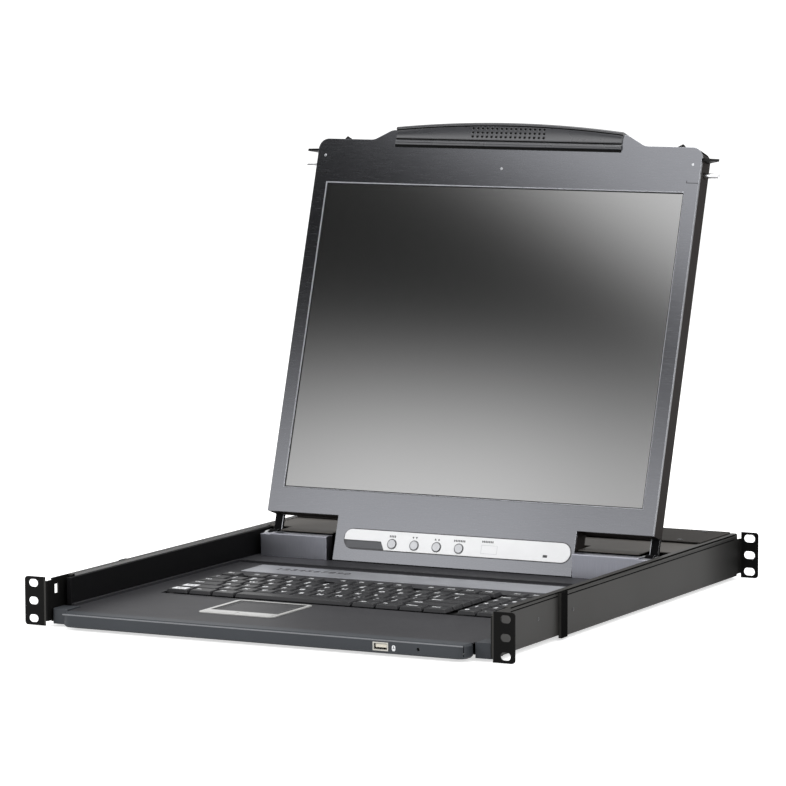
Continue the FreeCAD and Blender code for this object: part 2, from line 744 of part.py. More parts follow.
def tray_side():
    """Outer face of the tray wall."""
    return TRAY_HALF + TRAY_SHEET


def outer_rail():
    """Fixed member, on the inside of the chassis wall."""
    return rail(rail_profile(wall_inside(), tray_side() + RAIL_GAP, 0))


def middle_inset():
    return RAIL_SHEET + RAIL_GAP


def middle_rail():
    """Travelling member between the other two."""
    inset = middle_inset()
    return rail(rail_profile(wall_inside() - inset, tray_side() + RAIL_GAP + inset, inset))


def inner_rail():
    """Member on the tray wall: a channel whose feet hook behind the curls of the middle member."""
    web = tray_side() + RAIL_SHEET / 2
    foot = tray_side() + 2 * middle_inset() + RAIL_GAP + RAIL_SHEET + RAIL_SHEET / 2
    curl_end = RAIL_BOTTOM + middle_inset() + RAIL_SHEET / 2 + RAIL_CURL
    low = curl_end + RAIL_GAP + RAIL_SHEET / 2
    hook = low - RAIL_SHEET
    both = RAIL_BOTTOM + RAIL_TOP
    return rail([(foot, hook), (foot, low), (web, low), (web, both - low), (foot, both - low),
                 (foot, both - hook)])


# ---------------------------------------------------------------- rear brackets


def rear_bracket():
    """Right bracket: a long shallow channel on the outside of the wall, ending in the rear ear."""
    outside = CHASSIS_HALF + BRACKET_OUT
    middle = outside - BRACKET_SHEET / 2
    inside = CHASSIS_HALF + BRACKET_GAP
    ear_front = BRACKET_BACK - BRACKET_SHEET
    low, high = BRACKET_BOTTOM + BRACKET_SHEET / 2, BRACKET_TOP - BRACKET_SHEET / 2
    points, radii = folded([(inside, low), (middle, low), (middle, high), (inside, high)],
                           BRACKET_SHEET, BRACKET_SHEET)
    web = standing(points, radii, BRACKET_FRONT, BRACKET_BACK - NECK_LENGTH)
    ear_middle = BRACKET_BACK - BRACKET_SHEET / 2
    ear_line = [(EAR_WIDTH / 2 - EAR_CORNER, ear_middle), (middle, ear_middle),
                (middle, BRACKET_BACK - NECK_LENGTH)]
    points, radii = folded(ear_line, BRACKET_SHEET, BRACKET_SHEET)
    neck = plate(points, radii, *heights(NECK_BOTTOM, NECK_TOP - BRACKET_NECK_DROP))
    collar = block((inside, outside), about(BRACKET_FRONT, COLLAR_LENGTH),
                   heights(BRACKET_BOTTOM - COLLAR_RISE, BRACKET_TOP + COLLAR_RISE))
    slots = [slot_cutter(h, REAR_SLOT_LENGTH, REAR_SLOT_WIDTH, ear_front - CUT, BRACKET_BACK + CUT)
             for h in ear_heights()]
    bracket = web.fuse([neck, ear(outside + EAR_STEP, ear_front, BRACKET_BACK), collar])
    return bracket.cut(slots).removeSplitter()


# ---------------------------------------------------------------- drawer


def cable_slot(half, y, sheet):
    """A cutter for the ribbon cable through an upright sheet that starts at y."""
    return block((-half, half), (y - CUT, y + sheet + CUT), heights(CABLE_LOW, CABLE_HIGH))


def tray_pan():
    """Bottom and side walls of the drawer, bent from one sheet, with a back wall."""
    x_wall = TRAY_HALF + TRAY_SHEET / 2
    x_lip = tray_side() + TRAY_FLANGE
    low, high = TRAY_BOTTOM + TRAY_SHEET / 2, TRAY_TOP - TRAY_SHEET / 2
    line = [(-x_lip, high), (-x_wall, high), (-x_wall, low), (x_wall, low), (x_wall, high), (x_lip, high)]
    points, radii = folded(line, TRAY_SHEET, 0)
    pan = standing(points, radii, TRAY_FRONT, TRAY_BACK)
    apron = block((-CORNER_INNER, CORNER_INNER), (DECK_FRONT, TRAY_FRONT), heights(TRAY_BOTTOM, tray_floor()))
    back = block((-TRAY_HALF, TRAY_HALF), (TRAY_BACK - TRAY_SHEET, TRAY_BACK),
                 heights(tray_floor(), TRAY_TOP))
    stops = [block((s * tray_side(), s * x_lip), (TRAY_FRONT, TRAY_FRONT + TRAY_SHEET),
                   heights(CORNER_TOP + STOP_GAP, TRAY_TOP - TRAY_SHEET)) for s in (-1, 1)]
    pan = pan.fuse([apron, back] + stops)
    return pan.cut(cable_slot(CABLE_SLOT_HALF, TRAY_BACK - TRAY_SHEET, TRAY_SHEET)).removeSplitter()


def tray_floor():
    """Top face of the tray's bottom sheet."""
    return TRAY_BOTTOM + TRAY_SHEET


def field_back():
    """Back edge of the key field."""
    return FIELD_FRONT + FIELD_DEPTH


def field_half():
    return row_units() * KEY_PITCH / 2 + FIELD_MARGIN


def row_units():
    return sum(abs(w) for w in ROW_WIDTHS["keys_number_row"])


def well_radius():
    """Reach of the tongue corner about the hinge axis."""
    return math.hypot(TONGUE_BOTTOM, FACE_OUT)


def rear_deck_back():
    """Where the deck stops in front of the swinging tongue."""
    drop = HINGE_HEIGHT - REAR_DECK_TOP
    return HINGE_Y - math.sqrt(well_radius() ** 2 - drop ** 2) - WELL_GAP


def tower_back():
    return TOWER_FRONT + TOWER_DEPTH


def keyboard_deck():
    """Top sheet of the drawer: key field and touchpad openings, raised side borders and rear step."""
    half = TRAY_HALF - SEAT_GAP
    z = heights(DECK_TOP - DECK_SHEET, DECK_TOP)
    rear_z = heights(REAR_DECK_TOP - DECK_SHEET, REAR_DECK_TOP)
    length = (TRAY_FRONT, REAR_DECK_START)
    middle_back = rear_deck_back()
    deck = block((-half, half), length, z).fuse([
        block((-LIP_HALF, LIP_HALF), (DECK_FRONT, TRAY_FRONT), z),
        block((-half, half), (REAR_DECK_START, middle_back), rear_z),
        block((-half, -TOWER_LEFT_INNER), (middle_back, tower_back()), rear_z),
        block((TOWER_RIGHT_INNER, half), (middle_back, tower_back()), rear_z),
        block((-half, half), (REAR_DECK_START, REAR_DECK_START + DECK_SHEET), (z[0], rear_z[1])),
    ] + [block((s * half, s * (half - DECK_BORDER_WIDTH)), length, heights(DECK_TOP, DECK_TOP + DECK_BORDER))
         for s in (-1, 1)] + [
        block((s * half, s * (half - DECK_SHEET)), length, heights(tray_floor(), DECK_TOP - DECK_SHEET))
        for s in (-1, 1)])
    through = (z[0] - CUT, z[1] + CUT)
    field = block((-field_half(), field_half()), (FIELD_FRONT, field_back()), through)
    return deck.cut([field, pad_block(PAD_RIM / 2, *through)]).removeSplitter()


def pad_outline(inset):
    """X and Y ranges of the touchpad, pulled in on every side."""
    return ((PAD_LEFT + inset, PAD_LEFT + PAD_WIDTH - inset),
            (PAD_FRONT + inset, PAD_FRONT + PAD_DEPTH - inset))


def pad_block(inset, low, high):
    """A square-cornered box on the touchpad's outline between two Z values."""
    return block(*pad_outline(inset), (low, high))


def pad_window(gap):
    """X and Y ranges of the touch surface inside the rim."""
    x, y = pad_outline(PAD_RIM + gap)
    return x, (PAD_FRONT + PAD_BAR + gap, y[1])


def touchpad_frame():
    """Rim that stands on the deck around the pad, with the button bar in front."""
    low, top = heights(DECK_TOP, DECK_TOP + PAD_RISE)
    rim = plate(rectangle(*pad_outline(0)), PAD_CORNER, low, top)
    skirt = pad_block(PAD_RIM / 2 + SNUG, low - DECK_SHEET, low)
    through = (low - DECK_SHEET - CUT, top + CUT)
    keys = [block(touch_button_x(k, SEAT_GAP), touch_button_y(SEAT_GAP), through) for k in (0, 1)]
    return rim.fuse(skirt).cut([block(*pad_window(0), through)] + keys)


def touch_button_x(k, grow):
    """X range of one of the two touchpad buttons."""
    width = (PAD_WIDTH - 3 * PAD_RIM) / 2
    start = PAD_LEFT + PAD_RIM + k * (width + PAD_RIM)
    return start - grow, start + width + grow


def touch_button_y(grow):
    return PAD_FRONT + PAD_RIM - grow, PAD_FRONT + PAD_BAR - PAD_RIM + grow


def touch_button(k):
    """Touchpad button cap with a skirt under the deck."""
    top = up(DECK_TOP + PAD_RISE + PAD_KEY_PROUD)
    cap = block(touch_button_x(k, 0), touch_button_y(0), (up(DECK_TOP - DECK_SHEET), top))
    return cap.makeChamfer(PAD_KEY_EDGE, [e for e in cap.Edges if e.BoundBox.ZMin > top - 1e-6])


def touchpad_surface():
    """Touch surface, a little below the rim, on its carrier that hangs under the deck."""
    low = up(DECK_TOP - DECK_SHEET - PAD_SURFACE_DROP)
    x, y = pad_window(SNUG)
    surface = block(x, y, (low, up(DECK_TOP + PAD_SURFACE_RISE)))
    carrier = pad_block(-PAD_CARRIER, low - PAD_CARRIER_SHEET, low)
    feet = [block((x0, x0 + PAD_FOOT), (y0, y0 + PAD_FOOT), (up(tray_floor()), low - PAD_CARRIER_SHEET))
            for x0 in (x[0], x[1] - PAD_FOOT) for y0 in (y[0], y[1] - PAD_FOOT)]
    return surface.fuse([carrier] + feet)


def marking_strip():
    """Thin bright strip stuck on the deck behind the keys."""
    half = field_half() - STRIP_INSET
    return block((-half, half), (STRIP_FRONT, STRIP_BACK), heights(DECK_TOP, DECK_TOP + STRIP_SHEET))


def lip_form(inset, back, low, high):
    """The lip's outline with its big rounded front corners, pulled in by the shell."""
    half, radius = LIP_HALF - inset, LIP_CORNER - inset
    points = rectangle((-half, half), (LIP_FRONT + inset, back))
    return plate(points, [radius if inset == 0 else 0] * 2 + [0, 0], *heights(low, high))


def front_lip():
    """Front moulding: a shell with big rounded ends, open at the back, with the port and lamp holes."""
    outer = lip_form(0, DECK_FRONT, LIP_BOTTOM, DECK_TOP)
    edge = [e for e in outer.Edges if e.BoundBox.ZLength < CUT / 2 and e.BoundBox.YMin < DECK_FRONT - CUT]
    outer = outer.makeChamfer(LIP_EDGE, edge)
    hollow = lip_form(LIP_SHELL, DECK_FRONT + CUT, LIP_BOTTOM + LIP_SHELL, DECK_TOP - DECK_SHEET)
    port = block(about(PORT_X, PORT_WIDTH + 2 * SNUG), (LIP_FRONT - CUT, DECK_FRONT),
                 heights(*about(LIP_CENTRE_HEIGHT, PORT_HEIGHT + 2 * SNUG)))
    lamp = rod(LAMP_RADIUS, Vector(LAMP_X, LIP_FRONT - CUT, up(LIP_CENTRE_HEIGHT)),
               Vector(0, LIP_CORNER, 0))
    return outer.cut([hollow, port, lamp])


def tray_corners():
    """Two corner blocks beside the lip, set back from it."""
    def corner():
        points = rectangle((CORNER_INNER, CORNER_HALF), (CORNER_FRONT, TRAY_FRONT))
        return plate(points, [0, CORNER_ROUND, 0, 0], *heights(CORNER_BOTTOM, CORNER_TOP))
    return Part.makeCompound(both_sides(corner))


def mouse_port():
    """Front socket: a bright shell round a contact tongue."""
    z = heights(*about(LIP_CENTRE_HEIGHT, PORT_HEIGHT))
    front, back = LIP_FRONT + PORT_SETBACK, LIP_FRONT + PORT_DEPTH
    shell = block(about(PORT_X, PORT_WIDTH), (front, back), z)
    hollow = block(about(PORT_X, PORT_WIDTH - 2 * PORT_SHELL), (front - CUT, back - 2 * CUT),
                   (z[0] + PORT_SHELL, z[1] - PORT_SHELL))
    tongue_top = z[1] - PORT_TONGUE_DROP
    tongue = block(about(PORT_X, PORT_WIDTH - 2 * PORT_TONGUE_INSET), (front + CUT, back - CUT),
                   (tongue_top - PORT_TONGUE, tongue_top))
    return shell.cut(hollow).fuse(tongue)


def power_lamp():
    """Small square-bodied lamp behind its hole in the lip."""
    front = LIP_FRONT + LIP_SHELL + SNUG
    return block(about(LAMP_X, LAMP_BODY), (front, front + LAMP_LENGTH),
                 heights(*about(LIP_CENTRE_HEIGHT, LAMP_BODY)))


def plate_top():
    return DECK_TOP - DECK_SHEET - PLATE_DROP


def key_cells():
    """The (x0, x1, y0) cell of every key of every row, in a dictionary by row."""
    cells = {}
    for index, (name, widths) in enumerate(ROW_WIDTHS.items()):
        x = -row_units() * KEY_PITCH / 2
        cells[name] = []
        for width in widths:
            if width > 0:
                cells[name].append((x, x + width * KEY_PITCH, row_start(index)))
            x += abs(width) * KEY_PITCH
    return cells


def space_cell():
    x = -row_units() * KEY_PITCH / 2 + SPACE_START * KEY_PITCH
    return x, x + SPACE_UNITS * KEY_PITCH, row_start(0)


def stem_centres(cell):
    """Where the stems of one key stand: one under its middle, or two under the space bar."""
    x0, x1, y0 = cell
    middle = (x0 + x1) / 2
    offsets = (-SPACE_STEM_OFFSET, SPACE_STEM_OFFSET) if x1 - x0 > 3 * KEY_PITCH else (0,)
    return [(middle + offset, y0 + KEY_PITCH / 2) for offset in offsets]


def post(x, y, width, low, top):
    """A square post on a centre point."""
    return block(about(x, width), about(y, width), heights(low, top))


def guide_slots():
    """One slot in the plate for the stems of each row, from its first stem to its last."""
    width = STEM_WIDTH + 2 * STEM_CLEARANCE
    z = heights(plate_top() - 2 * PLATE_THICK, plate_top() + CUT)
    slots = []
    for cells in key_cells().values():
        stems = [x for cell in cells for x, _ in stem_centres(cell)]
        slots.append(block((min(stems) - width / 2, max(stems) + width / 2),
                           about(cells[0][2] + KEY_PITCH / 2, width), z))
    return slots


def keyboard_plate():
    """Plate that guides the key stems in one slot a row, on a skirt that stands on the tray floor."""
    top = plate_top()
    half = field_half() + PLATE_EDGE
    y = (FIELD_FRONT - PLATE_EDGE, field_back() + PLATE_EDGE)
    solid = block((-half, half), y, heights(tray_floor(), top))
    hollow = block((-half + PLATE_THICK, half - PLATE_THICK), (y[0] + PLATE_THICK, y[1] - PLATE_THICK),
                   heights(TRAY_BOTTOM, top - PLATE_THICK))
    return solid.cut([hollow] + guide_slots())


def key(cell):
    """One key: a cap whose sides lean in to the top, and the stem that the plate guides."""
    x0, x1 = cell[0] + KEY_GAP / 2, cell[1] - KEY_GAP / 2
    y0, y1 = cell[2] + KEY_GAP / 2, cell[2] + KEY_PITCH - KEY_GAP / 2
    low, top = plate_top() + KEY_TRAVEL + STEM_CLEARANCE, DECK_TOP + KEY_RISE
    base = [Vector(x, y, up(low)) for x, y in rectangle((x0, x1), (y0, y1))]
    crown = [Vector(x, y, up(top)) for x, y in
             rectangle((x0 + KEY_TAPER, x1 - KEY_TAPER), (y0 + KEY_TAPER / 2, y1 - KEY_TAPER))]
    stems = [post(x, y, STEM_WIDTH, plate_top() - PLATE_THICK, low) for x, y in stem_centres(cell)]
    return frustum(base, crown).fuse(stems)


def row_start(index):
    """Front of a row: the function row stands back by its own gap."""
    extra = FUNCTION_GAP if index == len(ROW_WIDTHS) - 1 else 0
    return FIELD_FRONT + FIELD_MARGIN + index * KEY_PITCH + extra


def space_bar():
    """The long key of the front row."""
    return key(space_cell())


def tower_step():
    """Where a tower steps back and down to let the hinge arm swing."""
    return ARM_INNER - ARM_SPACE


def arm_top():
    """Top of the stepped end, under the arm's strap when the panel is shut."""
    return HINGE_HEIGHT - strap_low() - STRAP - ARM_SPACE


def tower_form(inner, outer, wall):
    """The outside of a tower, or the space inside its sheets."""
    base, open_end = REAR_DECK_TOP - wall, 2 * wall
    front = TOWER_FRONT + wall
    main = block((inner + wall, tower_step() - wall), (front, TOWER_FRONT + TOWER_DEPTH + open_end),
                 (up(base), up(TOWER_TOP - wall)))
    end = block((tower_step() - 2 * wall - ARM_SPACE, outer - wall),
                (front, TOWER_FRONT + TOWER_NOTCH + open_end), heights(base, arm_top() - wall))
    return main.fuse(end).removeSplitter()


def hinge_tower(inner, outer):
    """Hinge cover bent from sheet: front, top and ends, stepped where the hinge arm swings."""
    body = tower_form(inner, outer, 0)
    crest = [e for e in body.Edges if abs(e.BoundBox.ZMin - up(TOWER_TOP)) < 1e-6
             and e.BoundBox.YMax < TOWER_FRONT + CUT]
    return body.makeFillet(TOWER_ROUND, crest).cut(tower_form(inner, outer, TOWER_SHEET))


def bracket_ends():
    """X of the outer faces of the two ears of a hinge bracket."""
    return ARM_INNER - BRACKET_SPACE - BRACKET_EAR, ARM_OUTER + BRACKET_SPACE + BRACKET_EAR


def hinge_bracket():
    """Right bracket under the hinge: a foot on the tray and two ears bored for the pin."""
    inner, outer = bracket_ends()
    low = tray_floor()
    front, back = tower_back() + SEAT_GAP, HINGE_Y + BRACKET_EAR_HALF
    foot = block((inner, outer), (front, HINGE_Y + BRACKET_FOOT_BACK), heights(low, low + BRACKET_FOOT))
    top, corner = HINGE_HEIGHT + BRACKET_EAR_HALF, BRACKET_EAR_CHAMFER
    side = [(front, low), (back, low), (back, top - corner), (back - corner, top),
            (front + corner, top), (front, top - corner)]
    ears = [sideways(side, 0, x, x + BRACKET_EAR) for x in (inner, outer - BRACKET_EAR)]
    bore = rod(PIN_RADIUS + PIN_CLEARANCE, Vector(inner - CUT, HINGE_Y, up(HINGE_HEIGHT)),
               Vector(outer - inner + 2 * CUT, 0, 0))
    return foot.fuse(ears).cut(bore).removeSplitter()


def hinge_brackets():
    """Both hinge brackets."""
    return Part.makeCompound(both_sides(hinge_bracket))


def hinge_pins():
    """The two hinge pins, each through both ears of its bracket and the arm between them."""
    def pin():
        inner, outer = bracket_ends()
        start = Vector(inner - PIN_END, HINGE_Y, up(HINGE_HEIGHT))
        return rod(PIN_RADIUS, start, Vector(outer - inner + 2 * PIN_END, 0, 0))
    return Part.makeCompound(both_sides(pin))


def drawer_cover():
    """Lid over the back of the drawer: it passes under the fixed lid and leaves the hinge well open."""
    half = tray_side() + TRAY_FLANGE - LID_EDGE
    low, top = heights(TRAY_TOP, TRAY_TOP + TRAY_SHEET)
    through = (low - CUT, top + CUT)
    side_front = tower_back() + 2 * SEAT_GAP
    well_back = HINGE_Y + well_radius() + WELL_GAP
    lid = block((-half, half), (side_front, TRAY_BACK - LID_BACK_GAP), (low, top))
    well = block((-TOWER_LEFT_INNER, TOWER_RIGHT_INNER), (side_front - CUT, well_back), through)
    notches = [block((s * (bracket_ends()[0] - LID_NOTCH_SIDE), s * (half + CUT)),
                     (side_front - CUT, HINGE_Y + LID_NOTCH_BACK), through) for s in (-1, 1)]
    apron = block((-TOWER_LEFT_INNER, TOWER_RIGHT_INNER), (well_back, well_back + TRAY_SHEET),
                  (up(TRAY_TOP - LID_APRON), low))
    return lid.cut([well] + notches).fuse(apron).removeSplitter()


# ---------------------------------------------------------------- panel

PANEL_AT_REST = Placement(Vector(0, HINGE_Y, up(HINGE_HEIGHT)), Rotation(Vector(1, 0, 0), 180 - REST_OPEN))


def raised(shape):
    """Moves a piece drawn in the panel's own frame (X, along, out) to the raised panel."""
    placed = shape.copy()
    placed.Placement = PANEL_AT_REST.multiply(placed.Placement)
    return placed


def panel_back():
    return FACE_OUT - PANEL_THICK


def panel_outline(inset):
    """Outline of the panel with its tongue, wings, shoulders and crest, pulled in all round."""
    half, tongue, crest = PANEL_HALF - inset, TONGUE_HALF - inset, CREST_HALF - inset / 2
    slope = CREST_HALF + SLOPE_WIDTH - inset / 2
    right = [(tongue, TONGUE_BOTTOM + inset), (tongue, WING_BOTTOM + inset), (half, WING_BOTTOM + inset),
             (half, SHOULDER - inset), (slope, SHOULDER - inset), (crest, CREST - inset)]
    radii = [0, 0, 0, PANEL_CORNER, SLOPE_RADIUS, SLOPE_RADIUS]
    return right + [(-x, y) for x, y in right[::-1]], radii + radii[::-1]


def panel_form(inset, low, high):
    """The panel's outline pulled in and extruded: the outside keeps its rounded corners."""
    points, radii = panel_outline(inset)
    return plate(points, radii if inset == 0 else 0, low, high)


def catch_cutters():
    """Openings in the panel's edges for one catch: pin, fin and thumb bump."""
    side = (PANEL_HALF - 2 * COVER_WALL, PANEL_HALF + CUT)
    pin_hole = 2 * (CATCH_PIN_RADIUS + CATCH_PIN_HOLE)
    pin = block(side, about(CATCH_PIN_ALONG, pin_hole), about(CATCH_PIN_OUT, pin_hole))
    fin = block(side, (CATCH_FIN_ALONG - CATCH_GAP, CATCH_FIN_ALONG + CATCH_FIN_SHEET + CATCH_GAP),
                (CATCH_FIN_LOW - CATCH_GAP, CATCH_FIN_HIGH + CATCH_GAP))
    left, right = about(CATCH_BUMP_X, CATCH_BUMP_WIDTH + 2 * CATCH_GAP)
    bump = block((left - CATCH_TRAVEL, right), (SHOULDER - 2 * COVER_WALL, SHOULDER + CUT),
                 about(CATCH_PIN_OUT, CATCH_THICK + 2 * CATCH_GAP))
    return [pin, fin, bump]


def both_cutters():
    right = catch_cutters()
    return right + [mirrored(c) for c in right]


def button_openings(width):
    """Square openings behind the round ones of the control strip, through the bezel."""
    return [block(about(x, width), about(BUTTON_ALONG, width), (FACE_OUT - BEZEL_RIM, FACE_OUT + CUT))
            for x in button_places()]


def reset_opening():
    return block(about(RESET_X, RESET_WIDTH), about(RESET_ALONG, RESET_HEIGHT),
                 (FACE_OUT - BEZEL_RIM, FACE_OUT + CUT))


def lcd_bezel():
    """Front plate with a shallow rim, the screen opening and the button holes."""
    shell = panel_form(0, FACE_OUT - BEZEL_RIM, FACE_OUT)
    hollow = panel_form(BEZEL_WALL, FACE_OUT - BEZEL_RIM - CUT, FACE_OUT - BEZEL_PLATE)
    window = block((-SCREEN_HALF, SCREEN_HALF), (SCREEN_BOTTOM, SCREEN_TOP),
                   (FACE_OUT - BEZEL_RIM, FACE_OUT + CUT))
    holes = button_openings(2 * (BUTTON_RADIUS + BUTTON_CLEARANCE))
    return raised(shell.cut([hollow, window, reset_opening()] + holes))


def button_places():
    return [BUTTON_FIRST + k * BUTTON_STEP for k in range(BUTTON_COUNT)]


def lcd_back_cover():
    """Deep back shell of the panel, open to the front."""
    shell = panel_form(0, panel_back(), FACE_OUT - BEZEL_RIM)
    shell = shell.makeChamfer(BACK_CHAMFER, [e for e in shell.Edges if e.BoundBox.ZMax < panel_back() + 1e-6])
    hollow = panel_form(COVER_WALL, panel_back() + COVER_WALL, FACE_OUT)
    arm_slots = [block((s * (ARM_INNER - PIN_CLEARANCE), s * (PANEL_HALF - COVER_WALL)),
                       (WING_BOTTOM - CUT, WING_BOTTOM + COVER_WALL + CUT),
                       (strap_low(), strap_low() + STRAP)) for s in (-1, 1)]
    return raised(shell.cut([hollow] + both_cutters() + arm_slots))


def screen_block(border, low, high):
    """A box on the screen opening, grown by a border."""
    return block((-SCREEN_HALF - border, SCREEN_HALF + border), (SCREEN_BOTTOM - border, SCREEN_TOP + border),
                 (low, high))


def screen_front():
    """Front face of the screen sheet, behind the bezel plate."""
    return FACE_OUT - BEZEL_PLATE


def lcd_screen():
    """Screen sheet, held behind the bezel plate."""
    return raised(screen_block(SCREEN_BORDER, screen_front() - SCREEN_SHEET, screen_front()))


def panel_post(x, along, width, front):
    """A square post on the inside of the back shell, up to a face of the panel's inner parts."""
    return block(about(x, width), about(along, width), (panel_back() + COVER_WALL, front))


def lcd_module():
    """Lamp and frame of the screen, between the screen sheet and the back shell."""
    body = screen_block(MODULE_BORDER, MODULE_BACK, screen_front() - SCREEN_SHEET)
    x = SCREEN_HALF - BOSS_INSET
    bosses = [panel_post(side * x, along, BOSS_WIDTH, MODULE_BACK)
              for side in (-1, 1) for along in (SCREEN_BOTTOM + BOSS_INSET, SCREEN_TOP - BOSS_INSET)]
    return raised(body.fuse(bosses))


def control_strip():
    """Pale label strip on the tongue, with the button holes and the cut-in tab."""
    r = (LABEL_TOP - LABEL_BOTTOM) / 2 - 0.01
    cut_top = LABEL_BOTTOM + LABEL_CUT
    outline = [(LABEL_LEFT, cut_top), (LABEL_CUT_END - LABEL_CUT_SLOPE, cut_top),
               (LABEL_CUT_END, LABEL_BOTTOM), (LABEL_RIGHT, LABEL_BOTTOM),
               (LABEL_RIGHT, LABEL_TOP), (LABEL_LEFT, LABEL_TOP)]
    strip = plate(outline, [0, 0, 0, r, r, r * 0.85], FACE_OUT, FACE_OUT + LABEL_SHEET)
    through = Vector(0, 0, 2 * CUT + LABEL_SHEET)
    holes = [rod(BUTTON_RADIUS + BUTTON_CLEARANCE, Vector(x, BUTTON_ALONG, FACE_OUT - CUT), through)
             for x in button_places()]
    return raised(strip.cut(holes + [reset_opening()]))


def button_top():
    return FACE_OUT + LABEL_SHEET + BUTTON_PROUD


def control_button(x):
    """Round button cap on the square body that holds it behind the bezel."""
    top = button_top()
    cap = rod(BUTTON_RADIUS, Vector(x, BUTTON_ALONG, top - BUTTON_LENGTH), Vector(0, 0, BUTTON_LENGTH))
    body = block(about(x, BUTTON_BODY), about(BUTTON_ALONG, BUTTON_BODY),
                 (top - BUTTON_LENGTH, screen_front() - SEAT_GAP))
    return raised(cap.fuse(body).removeSplitter())


def button_board():
    """Switch board behind the four buttons, on two posts from the back shell."""
    top = button_top() - BUTTON_LENGTH - BUTTON_TRAVEL - SEAT_GAP
    low = top - BOARD_SHEET
    left, right = BUTTON_FIRST - SWITCH_BOARD_LEFT, RESET_X + SWITCH_BOARD_RIGHT
    board = block((left, right), (LABEL_BOTTOM, LABEL_TOP), (low, top))
    posts = [panel_post(x, 0, SWITCH_POST, low)
             for x in (left + SWITCH_POST_INSET, right - SWITCH_POST_INSET)]
    return raised(board.fuse(posts))


def handle_face(low, top_end, top_middle):
    """Front view of the grip: straight below, one long arc above."""
    half = HANDLE_HALF
    arc = Part.Arc(Vector(half, top_end, 0), Vector(0, top_middle, 0), Vector(-half, top_end, 0)).toShape()
    sides = Part.makePolygon([Vector(-half, top_end, 0), Vector(-half, low, 0), Vector(half, low, 0),
                              Vector(half, top_end, 0)])
    return Part.Face(Part.Wire([arc] + sides.Edges))


def handle():
    """Grip over the crest of the panel: a front apron and a rounded rail above the edge."""
    front = handle_face(HANDLE_BOTTOM, HANDLE_END_TOP, HANDLE_CREST).extrude(Vector(0, 0, HANDLE_PROUD))
    front.translate(Vector(0, 0, FACE_OUT))
    rail = handle_face(CREST, HANDLE_END_TOP, HANDLE_CREST).extrude(Vector(0, 0, FACE_OUT - HANDLE_BACK))
    rail.translate(Vector(0, 0, HANDLE_BACK))
    grip = front.fuse(rail).removeSplitter()
    proud = FACE_OUT + HANDLE_PROUD
    crest = [e for e in grip.Edges
             if e.BoundBox.ZMin > proud - 1e-6 and e.BoundBox.YMax > HANDLE_CREST - 1e-3]
    return raised(grip.makeChamfer(HANDLE_BEVEL, crest))


def strap_low():
    """Outer face of the arm's strap, against the inside of the back shell."""
    return panel_back() + COVER_WALL


def hinge_arm():
    """Right hinge arm: a knuckle round the pin and a strap into the back shell."""
    width = Vector(ARM_OUTER - ARM_INNER, 0, 0)
    knuckle = rod(KNUCKLE, Vector(ARM_INNER, 0, 0), width)
    low = strap_low()
    strap = block((ARM_INNER, ARM_OUTER), (0, WING_BOTTOM), (low, low + STRAP))
    tab = block((ARM_INNER, PANEL_HALF - COVER_WALL), (WING_BOTTOM, WING_BOTTOM + TAB_LENGTH),
                (low, low + STRAP))
    bore = rod(PIN_RADIUS + PIN_CLEARANCE, Vector(ARM_INNER - CUT, 0, 0), width + Vector(2 * CUT, 0, 0))
    return raised(knuckle.fuse([strap, tab]).cut(bore).removeSplitter())


def catch_bar_end():
    """Where the pin starts, on the outer end of the catch bar."""
    return catch_side() - CATCH_BAR_END


def catch_side():
    """Running line of the catch, inside the panel's side wall."""
    return PANEL_HALF - COVER_WALL - CATCH_GAP


def catch_slide():
    """Right catch: inner slide with the thumb bump on top and the hooked fin at the side."""
    out = about(CATCH_PIN_OUT, CATCH_THICK)
    left, right = about(CATCH_BUMP_X, CATCH_BUMP_WIDTH)
    bar_top = SHOULDER - COVER_WALL - CATCH_GAP - CATCH_BAR_TOP
    bar = block((left, catch_bar_end()), (CATCH_PIN_ALONG - CATCH_BAR_LOW, bar_top), out)
    stem = block((left, right), (bar_top, SHOULDER + SNUG), out)
    peak = CATCH_BUMP_X + CATCH_BUMP_LEAN * CATCH_BUMP_WIDTH / 2
    crest = plate([(left, SHOULDER), (right, SHOULDER), (peak, SHOULDER + CATCH_BUMP_RISE)], 0, *out)
    side, root = catch_side(), catch_side() - CATCH_FIN_ROOT
    corners = [(root, CATCH_FIN_LOW), (root, CATCH_FIN_HIGH), (side, CATCH_FIN_HIGH),
               (CATCH_FIN_TIP, CATCH_FIN_TIP_OUT), (side, CATCH_FIN_LOW)]
    fin = Part.Face(Part.makePolygon([Vector(x, CATCH_FIN_ALONG, z) for x, z in corners + corners[:1]]))
    hook = fin.extrude(Vector(0, CATCH_FIN_SHEET, 0))
    return raised(bar.fuse([stem, crest, hook]).removeSplitter())


def catch_pin():
    """Right catch pin, riveted to the end of the catch bar, with a chamfered tip."""
    start = Vector(catch_bar_end(), CATCH_PIN_ALONG, CATCH_PIN_OUT)
    pin = rod(CATCH_PIN_RADIUS, start, Vector(CATCH_PIN_TIP - start.x, 0, 0))
    tip = [e for e in pin.Edges if e.BoundBox.XMin > CATCH_PIN_TIP - 1e-6]
    return raised(pin.makeChamfer(CATCH_PIN_CHAMFER, tip))


# ---------------------------------------------------------------- parts


